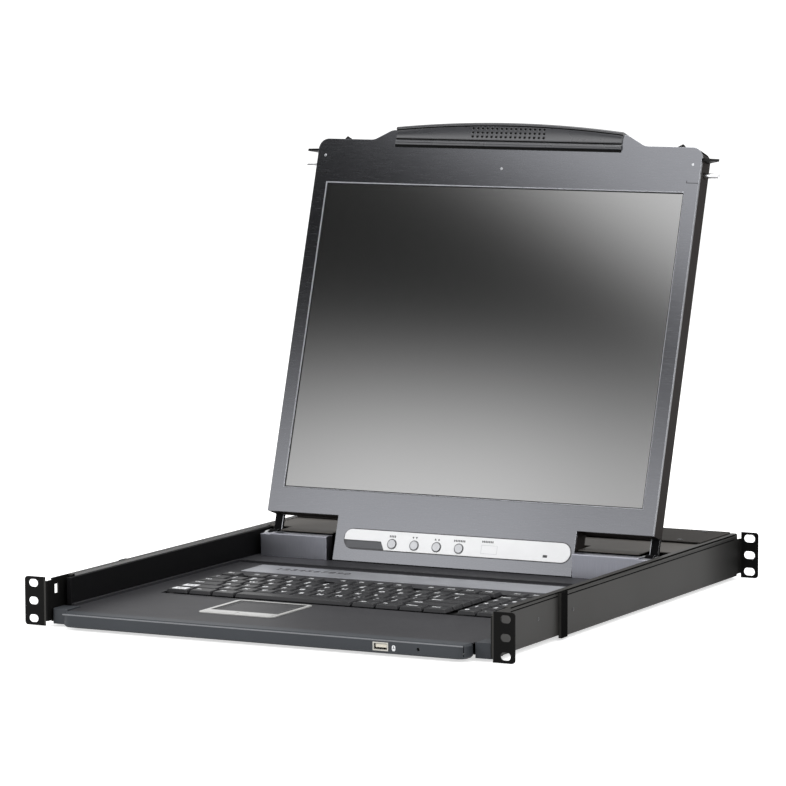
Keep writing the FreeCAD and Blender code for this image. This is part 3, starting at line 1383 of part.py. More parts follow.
def all_parts():
    """Every named piece."""
    parts = {
        "chassis_floor": chassis_floor(),
        "rear_cover": rear_cover(),
        "rear_panel": rear_panel(),
        "rear_bulkhead": rear_bulkhead(),
        "mainboard": mainboard(),
        "power_supply": power_supply(),
        "power_inlet": power_inlet(),
        "power_rocker": power_rocker(),
        "rear_ports": rear_ports(),
        "tray_pan": tray_pan(),
        "keyboard_deck": keyboard_deck(),
        "front_lip": front_lip(),
        "tray_corners": tray_corners(),
        "mouse_port": mouse_port(),
        "power_lamp": power_lamp(),
        "touchpad_frame": touchpad_frame(),
        "touchpad_surface": touchpad_surface(),
        "touch_button_left": touch_button(0),
        "touch_button_right": touch_button(1),
        "marking_strip": marking_strip(),
        "keyboard_plate": keyboard_plate(),
        "space_bar": space_bar(),
        "hinge_tower_left": mirrored(hinge_tower(TOWER_LEFT_INNER, TOWER_OUTER)),
        "hinge_tower_right": hinge_tower(TOWER_RIGHT_INNER, TOWER_OUTER),
        "hinge_brackets": hinge_brackets(),
        "hinge_pins": hinge_pins(),
        "drawer_cover": drawer_cover(),
        "lcd_bezel": lcd_bezel(),
        "lcd_back_cover": lcd_back_cover(),
        "lcd_screen": lcd_screen(),
        "lcd_module": lcd_module(),
        "control_strip": control_strip(),
        "button_board": button_board(),
        "handle": handle(),
    }
    for name, cells in key_cells().items():
        parts[name] = Part.makeCompound([key(cell) for cell in cells])
    for number, x in enumerate(button_places(), 1):
        parts[f"control_button_{number}"] = control_button(x)
    pairs = {"chassis_wall": chassis_wall, "outer_rail": outer_rail, "middle_rail": middle_rail,
             "inner_rail": inner_rail, "rear_bracket": rear_bracket}
    pairs.update({"hinge_arm": hinge_arm, "catch_slide": catch_slide, "catch_pin": catch_pin})
    for name, build in pairs.items():
        parts[name + "_right"], parts[name + "_left"] = both_sides(build)
    return parts


def main():
    os.makedirs("parts", exist_ok=True)
    for name, shape in all_parts().items():
        shape.exportStep(f"parts/{name}.step")


main()
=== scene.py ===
import math
from fnmatch import fnmatchcase
from functools import partial

import bmesh
import bpy
from mathutils import Matrix, Vector
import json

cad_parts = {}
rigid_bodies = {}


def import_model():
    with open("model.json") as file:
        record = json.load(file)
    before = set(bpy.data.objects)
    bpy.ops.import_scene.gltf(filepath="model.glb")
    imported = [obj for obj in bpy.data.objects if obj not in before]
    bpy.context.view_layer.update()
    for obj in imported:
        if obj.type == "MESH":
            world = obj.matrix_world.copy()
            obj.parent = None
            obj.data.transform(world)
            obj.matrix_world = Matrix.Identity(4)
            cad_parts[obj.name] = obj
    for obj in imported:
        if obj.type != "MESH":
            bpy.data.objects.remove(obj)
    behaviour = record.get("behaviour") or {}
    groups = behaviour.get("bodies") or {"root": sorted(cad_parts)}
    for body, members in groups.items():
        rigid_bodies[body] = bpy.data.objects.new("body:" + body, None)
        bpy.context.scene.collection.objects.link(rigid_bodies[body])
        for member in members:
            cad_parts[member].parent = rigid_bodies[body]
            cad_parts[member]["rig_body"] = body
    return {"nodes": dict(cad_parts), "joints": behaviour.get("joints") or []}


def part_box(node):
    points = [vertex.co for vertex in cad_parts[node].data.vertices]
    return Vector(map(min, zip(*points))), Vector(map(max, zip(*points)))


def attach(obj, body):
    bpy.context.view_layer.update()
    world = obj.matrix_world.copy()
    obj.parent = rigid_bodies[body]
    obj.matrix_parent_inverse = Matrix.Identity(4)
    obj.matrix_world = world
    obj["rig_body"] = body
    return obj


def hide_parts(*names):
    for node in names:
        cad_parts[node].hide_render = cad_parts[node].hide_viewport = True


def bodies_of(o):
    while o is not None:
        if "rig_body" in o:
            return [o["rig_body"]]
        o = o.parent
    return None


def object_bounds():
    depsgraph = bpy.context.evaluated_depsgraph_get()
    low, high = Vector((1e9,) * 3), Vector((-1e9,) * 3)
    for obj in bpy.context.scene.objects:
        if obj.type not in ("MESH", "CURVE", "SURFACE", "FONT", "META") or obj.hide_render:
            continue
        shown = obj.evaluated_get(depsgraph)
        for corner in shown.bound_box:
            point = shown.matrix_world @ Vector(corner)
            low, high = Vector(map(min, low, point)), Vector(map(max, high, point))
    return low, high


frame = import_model()
CAD_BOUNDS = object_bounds()

# A one-unit rack drawer with a keyboard, a touchpad and a raised display. Lengths are in metres.
MM = 0.001
# Laid-on pieces stand off the faces they cover by this much.
SKIN_GAP = 0.02 * MM
NODES = frame["nodes"]
SIDES = (("left", -1), ("right", 1))
BEHIND_EARS = 100 * MM
MOUTH_DEPTH = 0.5 * MM
WORD_BOLD = 0.03
WORD_GAP = 0.03 * MM

# The raised panel's own axes: X across, ALONG up the panel, OUT towards the operator.
TILT = {joint["name"]: joint for joint in frame["joints"]}["lcd_tilt"]
LEAN = math.radians(max(TILT["range_deg"]) - 90)
ALONG = Vector((0, math.sin(LEAN), math.cos(LEAN)))
OUT = Vector((0, -math.cos(LEAN), math.sin(LEAN)))
PANEL = (Matrix.Translation(Vector(TILT["pos_m"]))
         @ Matrix((Vector((1, 0, 0)), ALONG, OUT)).transposed().to_4x4())


# ---- measuring the frame


def body_of(name):
    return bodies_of(NODES[name])[0]


def corners_of(node, axes=Matrix()):
    """Corners of a node in given axes."""
    inverse = axes.inverted()
    return [inverse @ v.co for v in NODES[node].data.vertices]


def span(corners):
    """Lowest and highest corner of a box round some corners."""
    return (Vector([min(c[i] for c in corners) for i in range(3)]),
            Vector([max(c[i] for c in corners) for i in range(3)]))


def panel_span(node):
    """Lowest and highest corner of a node in the panel's own axes."""
    return span(corners_of(node, PANEL))


def solids(node):
    """The separate solids of a node, each as the list of its corners."""
    mesh = bmesh.new()
    mesh.from_mesh(NODES[node].data)
    bmesh.ops.remove_doubles(mesh, verts=mesh.verts, dist=1e-6)
    left = set(mesh.verts)
    found = []
    while left:
        stack = [left.pop()]
        corners = []
        while stack:
            vert = stack.pop()
            corners.append(vert.co.copy())
            for edge in vert.link_edges:
                other = edge.other_vert(vert)
                if other in left:
                    left.remove(other)
                    stack.append(other)
        found.append(corners)
    mesh.free()
    return found


def outermost(corners, side):
    """How far some corners reach from the middle plane on a side."""
    return max(side * c.x for c in corners)


def bracket_mouth(name):
    """Front end of a rear bracket: where it starts and the corners there."""
    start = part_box("rear_bracket_" + name)[0].y
    return start, [c for c in corners_of("rear_bracket_" + name) if c.y < start + MOUTH_DEPTH]


def wall_corners(name):
    """Corners of a chassis wall, well behind its ears."""
    return [c for c in corners_of("chassis_wall_" + name) if c.y > BEHIND_EARS]


# ---- meshes


def add_object(name, data):
    """A new object in the scene."""
    made = bpy.data.objects.new(name, data)
    bpy.context.scene.collection.objects.link(made)
    return made


def mesh_object(name, mesh):
    """Turns a bmesh into an object in the scene."""
    data = bpy.data.meshes.new(name)
    mesh.to_mesh(data)
    mesh.free()
    return add_object(name, data)


def add_piece(name, mesh, body, finish, place=None):
    """Turns a bmesh into a finished piece that rides on a body."""
    if place is not None:
        mesh.transform(place)
    bmesh.ops.recalc_face_normals(mesh, faces=mesh.faces)
    piece = mesh_object(name, mesh)
    piece.data.materials.append(FINISH[finish])
    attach(piece, body)
    return piece


def join_loops(mesh, first, second):
    """Faces between two closed loops of corners."""
    for i in range(len(first)):
        j = (i + 1) % len(first)
        mesh.faces.new((first[i], first[j], second[j], second[i]))


def skin(mesh, outlines, ends="filled"):
    """Skins a stack of closed outlines. The ends are filled, joined to each other, or left open."""
    loops = [[mesh.verts.new(point) for point in outline] for outline in outlines]
    for first, second in zip(loops, loops[1:]):
        join_loops(mesh, first, second)
    if ends == "filled":
        mesh.faces.new(loops[0][::-1])
        mesh.faces.new(loops[-1])
    elif ends == "joined":
        join_loops(mesh, loops[-1], loops[0])
    return loops


def add_box(mesh, low, high):
    """A box between two corners."""
    low, high = Vector(low), Vector(high)
    place = Matrix.Translation((low + high) / 2) @ Matrix.Diagonal((*(high - low), 1))
    bmesh.ops.create_cube(mesh, size=1, matrix=place)


def add_prism(mesh, outline, low, high):
    """A closed outline in XY, between two heights."""
    skin(mesh, [[(x, y, z) for x, y in outline] for z in (low, high)])


def add_frame(mesh, low, high, profile, level=0.0):
    """A mitred frame round a rectangle. The closed profile has millimetres outside it and over a level."""
    outlines = []
    for outset, height in profile:
        x0, y0, x1, y1 = (low[0] - outset * MM, low[1] - outset * MM, high[0] + outset * MM,
                          high[1] + outset * MM)
        z = level + height * MM
        outlines.append(((x0, y0, z), (x1, y0, z), (x1, y1, z), (x0, y1, z)))
    skin(mesh, outlines, "joined")


def built(add, *parts):
    """A new mesh with one shape in it."""
    mesh = bmesh.new()
    add(mesh, *parts)
    return mesh


def circle(radius, height, steps):
    """Corners of a circle round Z."""
    turns = [2 * math.pi * step / steps for step in range(steps)]
    return [Vector((radius * math.cos(turn), radius * math.sin(turn), height)) for turn in turns]


def add_turned(mesh, profile, steps, place):
    """A shape turned about local Z from (radius, height) points; it starts and ends on the axis."""
    loops = skin(mesh, [[place @ point for point in circle(*ring, steps)] for ring in profile[1:-1]], "open")
    for loop, (_, height) in ((loops[0], profile[0]), (loops[-1], profile[-1])):
        pole = mesh.verts.new(place @ Vector((0, 0, height)))
        for i in range(steps):
            mesh.faces.new((pole, loop[i], loop[(i + 1) % steps]))


def rounded_rectangle(low, high, radius, steps=4):
    """Outline of a rectangle with round corners."""
    (x0, y0), (x1, y1) = low, high
    corners = ((x1 - radius, y0 + radius, -90), (x1 - radius, y1 - radius, 0),
               (x0 + radius, y1 - radius, 90), (x0 + radius, y0 + radius, 180))
    outline = []
    for x, y, start in corners:
        for step in range(steps + 1):
            turn = math.radians(start + 90 * step / steps)
            outline.append((x + radius * math.cos(turn), y + radius * math.sin(turn)))
    return outline


def add_words(mesh, items, thick):
    """Words as thin raised meshes: items are (words, size, place)."""
    holders = []
    for words, size, place in items:
        curve = bpy.data.curves.new("words", "FONT")
        curve.body = words
        curve.size = size
        curve.extrude = thick / 2
        curve.offset = size * WORD_BOLD
        curve.align_x = "CENTER"
        curve.align_y = "CENTER"
        curve.resolution_u = 2
        holders.append((add_object("words", curve), place))
    graph = bpy.context.evaluated_depsgraph_get()
    for holder, place in holders:
        flat = bpy.data.meshes.new_from_object(holder.evaluated_get(graph))
        flat.transform(place)
        mesh.from_mesh(flat)
        bpy.data.meshes.remove(flat)
    for holder, place in holders:
        bpy.data.objects.remove(holder)


# ---- nodes


def plug(tree, made, inputs):
    """Sets a node's inputs: a socket is linked, None is left alone, anything else is a constant."""
    for key, value in inputs.items():
        if isinstance(value, bpy.types.NodeSocket):
            tree.links.new(value, made.inputs[key])
        elif value is not None:
            made.inputs[key].default_value = value


def add_node(tree, kind, inputs=None, **settings):
    """A node with its settings and its inputs."""
    made = tree.nodes.new(kind)
    for setting, value in settings.items():
        setattr(made, setting, value)
    plug(tree, made, inputs or {})
    return made


def calculate(tree, operation, first, second=0.0):
    """Result of a Math node on sockets or numbers."""
    return add_node(tree, "ShaderNodeMath", {0: first, 1: second}, operation=operation).outputs[0]


def vector_maths(tree, operation, first, second=None):
    """Outputs of a Vector Math node."""
    return add_node(tree, "ShaderNodeVectorMath", {0: first, 1: second}, operation=operation).outputs


def vector(tree, x=0.0, y=0.0, z=0.0):
    """A vector from sockets or numbers."""
    return add_node(tree, "ShaderNodeCombineXYZ", {0: x, 1: y, 2: z}).outputs[0]


def axes_of(tree, place):
    """The X, Y and Z sockets of a vector."""
    return add_node(tree, "ShaderNodeSeparateXYZ", {0: place}).outputs


def ramp(tree, value, low, high, start=0.0, end=1.0, kind="LINEAR"):
    """Maps a value between low and high onto start to end."""
    ends = {"Value": value, "From Min": low, "From Max": high, "To Min": start, "To Max": end}
    return add_node(tree, "ShaderNodeMapRange", ends, interpolation_type=kind).outputs["Result"]


def mix_colours(tree, factor, first, second, **settings):
    """A blend of two colours, each three numbers or a socket."""
    first, second = [(*colour, 1) if isinstance(colour, tuple) else colour for colour in (first, second)]
    inputs = {"Factor": factor, "A": first, "B": second}
    return add_node(tree, "ShaderNodeMix", inputs, data_type="RGBA", **settings).outputs["Result"]


# ---- finishes

EDGE_SPAN = (0.995, 0.90)
NOISE_SPAN = (0.3, 0.7)
# Faces turned this far towards the middle get painted shade.
FACING_IN = -0.02
# Lighter edge colour, a share of the coat's colour and a little more: both wear and a painted highlight.
EDGE_WEAR_AND_HIGHLIGHT = (1.5, 0.01)
# Painted shade before the rear ears: run and depth of the darkening, how dark the shaded colour is, and its
# roughness.
TAIL_RUN = 0.09
TAIL_SHARE = 0.85
PAINTED_SHADE_SHARE = 0.06
DULL_ROUGHNESS = 0.7
# Sizes of the grain and shares of a colour between which the finishes vary.
PAINT_BLOTCHES = 9.0
PAINT_GRAIN = 1400.0
PAINT_TONES = (0.86, 1.12)
BRUSH_LINES = 1500.0
BRUSH_CLOUDS = 7.0
BRUSH_CLOUD_SHARE = 0.12
BRUSH_TONES = (0.95, 1.05)
# Share of the colour on edges: both wear and a painted highlight.
BRUSH_EDGE_WEAR_AND_HIGHLIGHT = 2.4
METAL_LINES = 300.0
METAL_TONE = 0.85
PLASTIC_BLOTCHES = 14.0
PLASTIC_GRAIN = 900.0
PLASTIC_TONE = 0.9
# How far the roughness goes under and over its middle, or its least and greatest share.
PAINT_GLOSS = (-0.05, 0.06)
BRUSH_GLOSS = (-0.02, 0.02)
METAL_GLOSS = (0.8, 1.25)
PLASTIC_GLOSS = (-0.04, 0.05)
FILM_SPECKS = 2600.0
FILM_TONES = ((0.003, 0.0035, 0.003), (0.006, 0.006, 0.0055))
LAMINATE_CELLS = 260.0
LAMINATE_TONES = ((0.01, 0.09, 0.04), (0.03, 0.2, 0.09))
FINE_EDGE = 0.0003
BRUSH_EDGE = 0.0006


def new_material(name):
    """A material and its node tree."""
    material = bpy.data.materials.new(name)
    material.use_nodes = True
    return material, material.node_tree


def object_place(tree):
    return add_node(tree, "ShaderNodeTexCoord").outputs["Object"]


def object_noise(tree, scale, detail=4.0, roughness=0.55, stretch=(1, 1, 1)):
    """Noise on Object coordinates, stretched where the finish has a direction."""
    place = add_node(tree, "ShaderNodeMapping", {"Vector": object_place(tree), "Scale": stretch})
    noise = {"Vector": place.outputs["Vector"], "Scale": scale, "Detail": detail, "Roughness": roughness}
    return add_node(tree, "ShaderNodeTexNoise", noise).outputs["Fac"]


def spread(tree, noise, low=0.0, high=1.0):
    """Maps a noise value onto a range."""
    return ramp(tree, noise, *NOISE_SPAN, low, high)


def shaded(colour, share):
    """A lighter or darker version of a colour."""
    return tuple(min(1.0, part * share) for part in colour)


def rounded_normal(tree, radius):
    """The surface's direction with its edges rounded."""
    return add_node(tree, "ShaderNodeBevel", {"Radius": radius}, samples=4).outputs["Normal"]


def edge_mask(tree, rounded):
    """1 on edges, 0 on flats: where a rounded normal leaves the true one."""
    true = add_node(tree, "ShaderNodeNewGeometry").outputs["Normal"]
    return ramp(tree, vector_maths(tree, "DOT_PRODUCT", rounded, true)["Value"], *EDGE_SPAN)


def beyond(tree, distance):
    """1 where a surface lies further from the middle plane than a distance, else 0."""
    across = axes_of(tree, object_place(tree))["X"]
    return calculate(tree, "GREATER_THAN", calculate(tree, "ABSOLUTE", across), distance)


def facing_in(tree):
    """1 where a surface faces the middle plane, else 0."""
    place = add_node(tree, "ShaderNodeTexCoord").outputs
    product = vector_maths(tree, "MULTIPLY", place["Object"], place["Normal"])["Vector"]
    return calculate(tree, "LESS_THAN", axes_of(tree, product)["X"], FACING_IN)


def rear_end(tree, start):
    """Rises from 0 to nearly 1 over the last stretch before the rear ears."""
    back = axes_of(tree, object_place(tree))["Y"]
    return ramp(tree, back, start, start + TAIL_RUN, 0.0, TAIL_SHARE, "SMOOTHSTEP")


def end_shader(material, colour, gloss, height, normal, bump, distance=0.0001, **constants):
    """Sets a Principled shader's colour, gloss and relief, and constants straight on its sockets."""
    tree = material.node_tree
    dent = add_node(tree, "ShaderNodeBump",
                    {"Strength": bump, "Distance": distance, "Height": height, "Normal": normal})
    inputs = {name.replace("_", " "): value for name, value in constants.items()}
    inputs.update({"Base Color": colour, "Roughness": gloss, "Normal": dent.outputs["Normal"]})
    plug(tree, tree.nodes["Principled BSDF"], inputs)
    return material


def painted(name, colour, roughness, edge=None, specular=0.5, soft=0.0005, ear=None, inner=False, tail=None):
    """Powder coat: orange-peel grain, slight blotches, and softened edges in a lighter colour:
    both wear and a painted highlight.

    Painted shade darkens the coat further out than ear, on inner faces, and behind tail;
    there the coat is also rougher.
    """
    material, tree = new_material(name)
    broad = object_noise(tree, PAINT_BLOTCHES, detail=5.0)
    normal = rounded_normal(tree, soft)
    shade = mix_colours(tree, spread(tree, broad), *[shaded(colour, share) for share in PAINT_TONES])
    # Edges take a lighter colour: both wear and a painted highlight.
    worn_and_highlit_edge = edge or tuple(part * EDGE_WEAR_AND_HIGHLIGHT[0] + EDGE_WEAR_AND_HIGHLIGHT[1] for part in colour)
    shade = mix_colours(tree, edge_mask(tree, normal), shade, worn_and_highlit_edge)
    gloss = spread(tree, broad, *[roughness + change for change in PAINT_GLOSS])
    # Painted shade: the coat turns darker, and rougher, beyond ear, on faces turned to the middle and behind
    # tail.
    masks = [beyond(tree, ear)] if ear else []
    masks += [facing_in(tree)] if inner else []
    masks += [rear_end(tree, tail)] if tail else []
    if masks:
        shade_and_dull = masks[0]
        for other in masks[1:]:
            shade_and_dull = calculate(tree, "MAXIMUM", shade_and_dull, other)
        shade = mix_colours(tree, shade_and_dull, shade, shaded(colour, PAINTED_SHADE_SHARE))
        gloss = add_node(tree, "ShaderNodeMix", {"Factor": shade_and_dull, "A": gloss, "B": DULL_ROUGHNESS})
        gloss = gloss.outputs["Result"]
    grain = object_noise(tree, PAINT_GRAIN, detail=2.0)
    return end_shader(material, shade, gloss, grain, normal, 0.06, 0.0002, Specular_IOR_Level=specular)


def brushed(name, colour, roughness, stretch):
    """Dark anodised sheet: long brush lines in tone, gloss and relief; lighter edges, wear and a painted
    highlight.
    """
    material, tree = new_material(name)
    lines = object_noise(tree, BRUSH_LINES, detail=3.0, roughness=0.6, stretch=stretch)
    normal = rounded_normal(tree, BRUSH_EDGE)
    shade = mix_colours(tree, spread(tree, lines), *[shaded(colour, share) for share in BRUSH_TONES])
    clouds = object_noise(tree, BRUSH_CLOUDS)
    shade = mix_colours(tree, BRUSH_CLOUD_SHARE, shade, clouds, blend_type="MULTIPLY")
    # Edges take a lighter colour: both wear and a painted highlight.
    shade = mix_colours(tree, edge_mask(tree, normal), shade, shaded(colour, BRUSH_EDGE_WEAR_AND_HIGHLIGHT))
    gloss = spread(tree, lines, *[roughness + change for change in BRUSH_GLOSS])
    return end_shader(material, shade, gloss, lines, normal, 0.05, Metallic=1.0)


def metal(name, colour, roughness, stretch=(1, 1, 1), depth=0.15):
    """Bare metal with fine drawing marks along the axis that stretch leaves long."""
    material, tree = new_material(name)
    lines = object_noise(tree, METAL_LINES, detail=3.0, stretch=stretch)
    shade = mix_colours(tree, spread(tree, lines), shaded(colour, METAL_TONE), colour)
    gloss = spread(tree, lines, *[roughness * share for share in METAL_GLOSS])
    return end_shader(material, shade, gloss, lines, rounded_normal(tree, FINE_EDGE), depth, Metallic=1.0)


def moulded(name, colour, roughness, specular=0.5, coat=0.0, ior=1.5):
    """Moulded plastic: spark-eroded grain and slight unevenness of gloss."""
    material, tree = new_material(name)
    broad = object_noise(tree, PLASTIC_BLOTCHES)
    shade = mix_colours(tree, spread(tree, broad), shaded(colour, PLASTIC_TONE), colour)
    gloss = spread(tree, broad, *[roughness + change for change in PLASTIC_GLOSS])
    grain = object_noise(tree, PLASTIC_GRAIN, detail=2.0)
    return end_shader(material, shade, gloss, grain, rounded_normal(tree, FINE_EDGE), 0.05,
                      Specular_IOR_Level=specular, Coat_Weight=coat, Coat_Roughness=0.12, IOR=ior)


def screen_film():
    """Matt film of the display: near black under an anti-glare surface."""
    material, tree = new_material("anti_glare_film")
    speck = object_noise(tree, FILM_SPECKS, detail=1.0)
    shade = mix_colours(tree, speck, *FILM_TONES)
    return end_shader(material, shade, 0.21, speck, None, 0.04, IOR=3.0)


def circuit_laminate():
    """Green laminate with darker copper areas under the mask."""
    material, tree = new_material("circuit_laminate")
    cells = add_node(tree, "ShaderNodeTexVoronoi", {"Scale": LAMINATE_CELLS, "Vector": object_place(tree)},
                     distance="MANHATTAN")
    shade = mix_colours(tree, cells.outputs["Distance"], *LAMINATE_TONES)
    plug(tree, tree.nodes["Principled BSDF"], {"Base Color": shade, "Roughness": 0.4})
    return material


RECIPES = {
    painted: (
        # Walls and brackets get painted shade on their ears and inward faces; the brackets also darken
        # towards the rear ears.
        ("wall_black", (0.036, 0.035, 0.033), 0.46, {"specular": 0.1, "ear": 0.2215, "inner": True}),
        ("bracket_black", (0.036, 0.035, 0.033), 0.46,
         {"specular": 0.1, "ear": 0.2245, "inner": True, "tail": 0.43}),
        # Near black: the bracket collars, and the painted shade lines along the tops of the walls and
        # brackets.
        ("collar_black", (0.0015, 0.0015, 0.0015), 0.8, {"specular": 0.02}),
        ("cover_charcoal", (0.038, 0.035, 0.032), 0.75, {"specular": 0.08}),
        ("apron_taupe", (0.085, 0.079, 0.072), 0.6, {"specular": 0.15}),
        ("tray_charcoal", (0.004, 0.004, 0.0045), 0.6, {"specular": 0.08}),
        ("deck_charcoal", (0.025, 0.025, 0.028), 0.5, {"specular": 0.2}),
        ("lip_slate", (0.04, 0.044, 0.05), 0.5, {"specular": 0.2, "soft": 0.0003}),
        # Pale grey strip on the front lip's upper edge: a painted highlight.
        ("lip_shine", (0.13, 0.135, 0.145), 0.4, {}),
        # Pale grey rim inside the walls' top edges: a painted highlight.
        ("rim_grey", (0.32, 0.32, 0.32), 0.4, {}),
        ("panel_black", (0.016, 0.013, 0.012), 0.6, {"specular": 0.08}),
        # Its pale edge colour is a painted highlight on the black hinge arms.
        ("hinge_black", (0.004, 0.004, 0.0045), 0.55,
         {"specular": 0.04, "soft": 0.0004, "edge": (0.5, 0.5, 0.51)}),
    ),
    brushed: (
        ("tower_slate", (0.33, 0.335, 0.375), 0.38, {"stretch": (1, 1, 0.06)}),
        ("bezel_slate", (0.168, 0.171, 0.184), 0.26, {"stretch": (0.05, 1, 1)}),
        # A lighter copy of the bezel's metal for bright edges: a painted highlight.
        ("edge_slate", (0.24, 0.244, 0.26), 0.3, {"stretch": (0.05, 1, 1)}),
    ),
    moulded: (
        ("handle_gloss", (0.04, 0.041, 0.046), 0.27, {"ior": 1.7}),
        # Near black for the handle's hollows: painted shade.
        ("dimple_black", (0.003, 0.003, 0.003), 0.7, {"specular": 0.1}),
        ("key_plastic", (0.009, 0.009, 0.011), 0.4, {"specular": 0.35}),
        ("legend_white", (0.82, 0.83, 0.85), 0.5, {}),
        ("hard_black", (0.006, 0.006, 0.006), 0.5, {"specular": 0.2}),
        ("strip_white", (0.93, 0.935, 0.945), 0.24, {"coat": 0.3}),
        ("tab_grey", (0.065, 0.067, 0.075), 0.35, {}),
        ("mark_grey", (0.05, 0.05, 0.055), 0.5, {}),
        ("faint_grey", (0.62, 0.63, 0.65), 0.4, {}),
        ("ring_grey", (0.16, 0.163, 0.17), 0.35, {}),
        ("trim_silver", (0.46, 0.46, 0.45), 0.38, {"coat": 0.2}),
        ("pad_charcoal", (0.03, 0.03, 0.032), 0.5, {"specular": 0.3}),
        ("port_cream", (0.72, 0.68, 0.58), 0.45, {}),
        ("lens_dark", (0.01, 0.01, 0.011), 0.1, {"coat": 1.0}),
    ),
    metal: (
        ("button_silver", (0.42, 0.425, 0.44), 0.36, {}),
        ("marking_silver", (0.5, 0.51, 0.54), 0.42, {"stretch": (0.05, 1, 1)}),
        ("zinc", (0.6, 0.61, 0.62), 0.36, {}),
        ("rail_zinc", (0.12, 0.12, 0.125), 0.34, {"stretch": (1, 0.03, 1)}),
        ("chrome", (0.85, 0.85, 0.86), 0.08, {"depth": 0.02}),
        ("screw_black", (0.06, 0.06, 0.062), 0.35, {}),
        ("screw_steel", (0.55, 0.56, 0.58), 0.3, {}),
        ("port_shell", (0.42, 0.41, 0.38), 0.26, {}),
    ),
}
FINISH = {name: make(name, colour, roughness, **extra)
          for make, recipes in RECIPES.items() for name, colour, roughness, extra in recipes}
FINISH["screen_film"] = screen_film()
FINISH["circuit_laminate"] = circuit_laminate()

NODE_FINISH = {
    "wall_black": "chassis_wall_* chassis_floor rear_panel",
    "bracket_black": "rear_bracket_*",
    "cover_charcoal": "rear_cover",
    "apron_taupe": "drawer_cover",
    "tray_charcoal": "tray_pan",
    "deck_charcoal": "keyboard_deck",
    "lip_slate": "front_lip tray_corners",
    "tower_slate": "hinge_tower_*",
    "bezel_slate": "lcd_bezel",
    "panel_black": "lcd_back_cover",
    "hinge_black": "hinge_arm_*",
    "handle_gloss": "handle",
    "key_plastic": "keys_* space_bar",
    "hard_black": "keyboard_plate power_inlet power_rocker catch_slide_*",
    "strip_white": "control_strip",
    "button_silver": "control_button_*",
    "trim_silver": "touchpad_frame touch_button_*",
    "pad_charcoal": "touchpad_surface",
    "marking_silver": "marking_strip",
    "zinc": "rear_bulkhead power_supply lcd_module hinge_brackets",
    "rail_zinc": "*_rail_*",
    "chrome": "hinge_pins catch_pin_*",
    "port_shell": "mouse_port rear_ports",
    "lens_dark": "power_lamp",
    "screen_film": "lcd_screen",
    "circuit_laminate": "mainboard button_board",
}


def finish_nodes():
    """Gives every CAD node its finish; a star stands for any letters."""
    for finish, patterns in NODE_FINISH.items():
        for name in [n for n in NODES if any(fnmatchcase(n, pattern) for pattern in patterns.split())]:
            slots = NODES[name].data.materials
            slots.clear()
            slots.append(FINISH[finish])


# ---- Geometry Nodes

SCREW_SIDES = 18
SCREW_DOME = 0.55
SCREW_CROWN = 0.68
SCREW_CROSS = (1.15, 0.26)
SCREW_CROSS_LEVEL = 1.1
SCREW_SEED = 7


def start_tree(name, sizes):
    """A Geometry Nodes tree with named sizes; gives the tree, its inputs and the sockets' keys."""
    tree = bpy.data.node_groups.new(name, "GeometryNodeTree")
    for way in ("INPUT", "OUTPUT"):
        tree.interface.new_socket("Geometry", in_out=way, socket_type="NodeSocketGeometry")
    keys = {}
    for size in sizes:
        made = tree.interface.new_socket(size, in_out="INPUT", socket_type="NodeSocketFloat")
        keys[size] = made.identifier
    return tree, add_node(tree, "NodeGroupInput").outputs, keys


def end_tree(tree, geometry, material):
    """Ends a tree in Realize Instances and Set Material."""
    real = add_node(tree, "GeometryNodeRealizeInstances", {0: geometry})
    paint = add_node(tree, "GeometryNodeSetMaterial", {"Geometry": real.outputs[0], "Material": material})
    add_node(tree, "NodeGroupOutput", {0: paint.outputs[0]})


def run_tree(mesh, tree, keys, sizes):
    """Runs a tree on a bmesh and gives the result as a bmesh."""
    holder = mesh_object("start", mesh)
    modifier = holder.modifiers.new("nodes", "NODES")
    modifier.node_group = tree
    for size, value in sizes.items():
        modifier[keys[size]] = value
    graph = bpy.context.evaluated_depsgraph_get()
    result = bpy.data.meshes.new_from_object(holder.evaluated_get(graph))
    holder.modifiers.remove(modifier)
    bpy.data.objects.remove(holder)
    made = bmesh.new()
    made.from_mesh(result)
    bpy.data.meshes.remove(result)
    for part in made.faces:
        part.material_index = 0
    return made


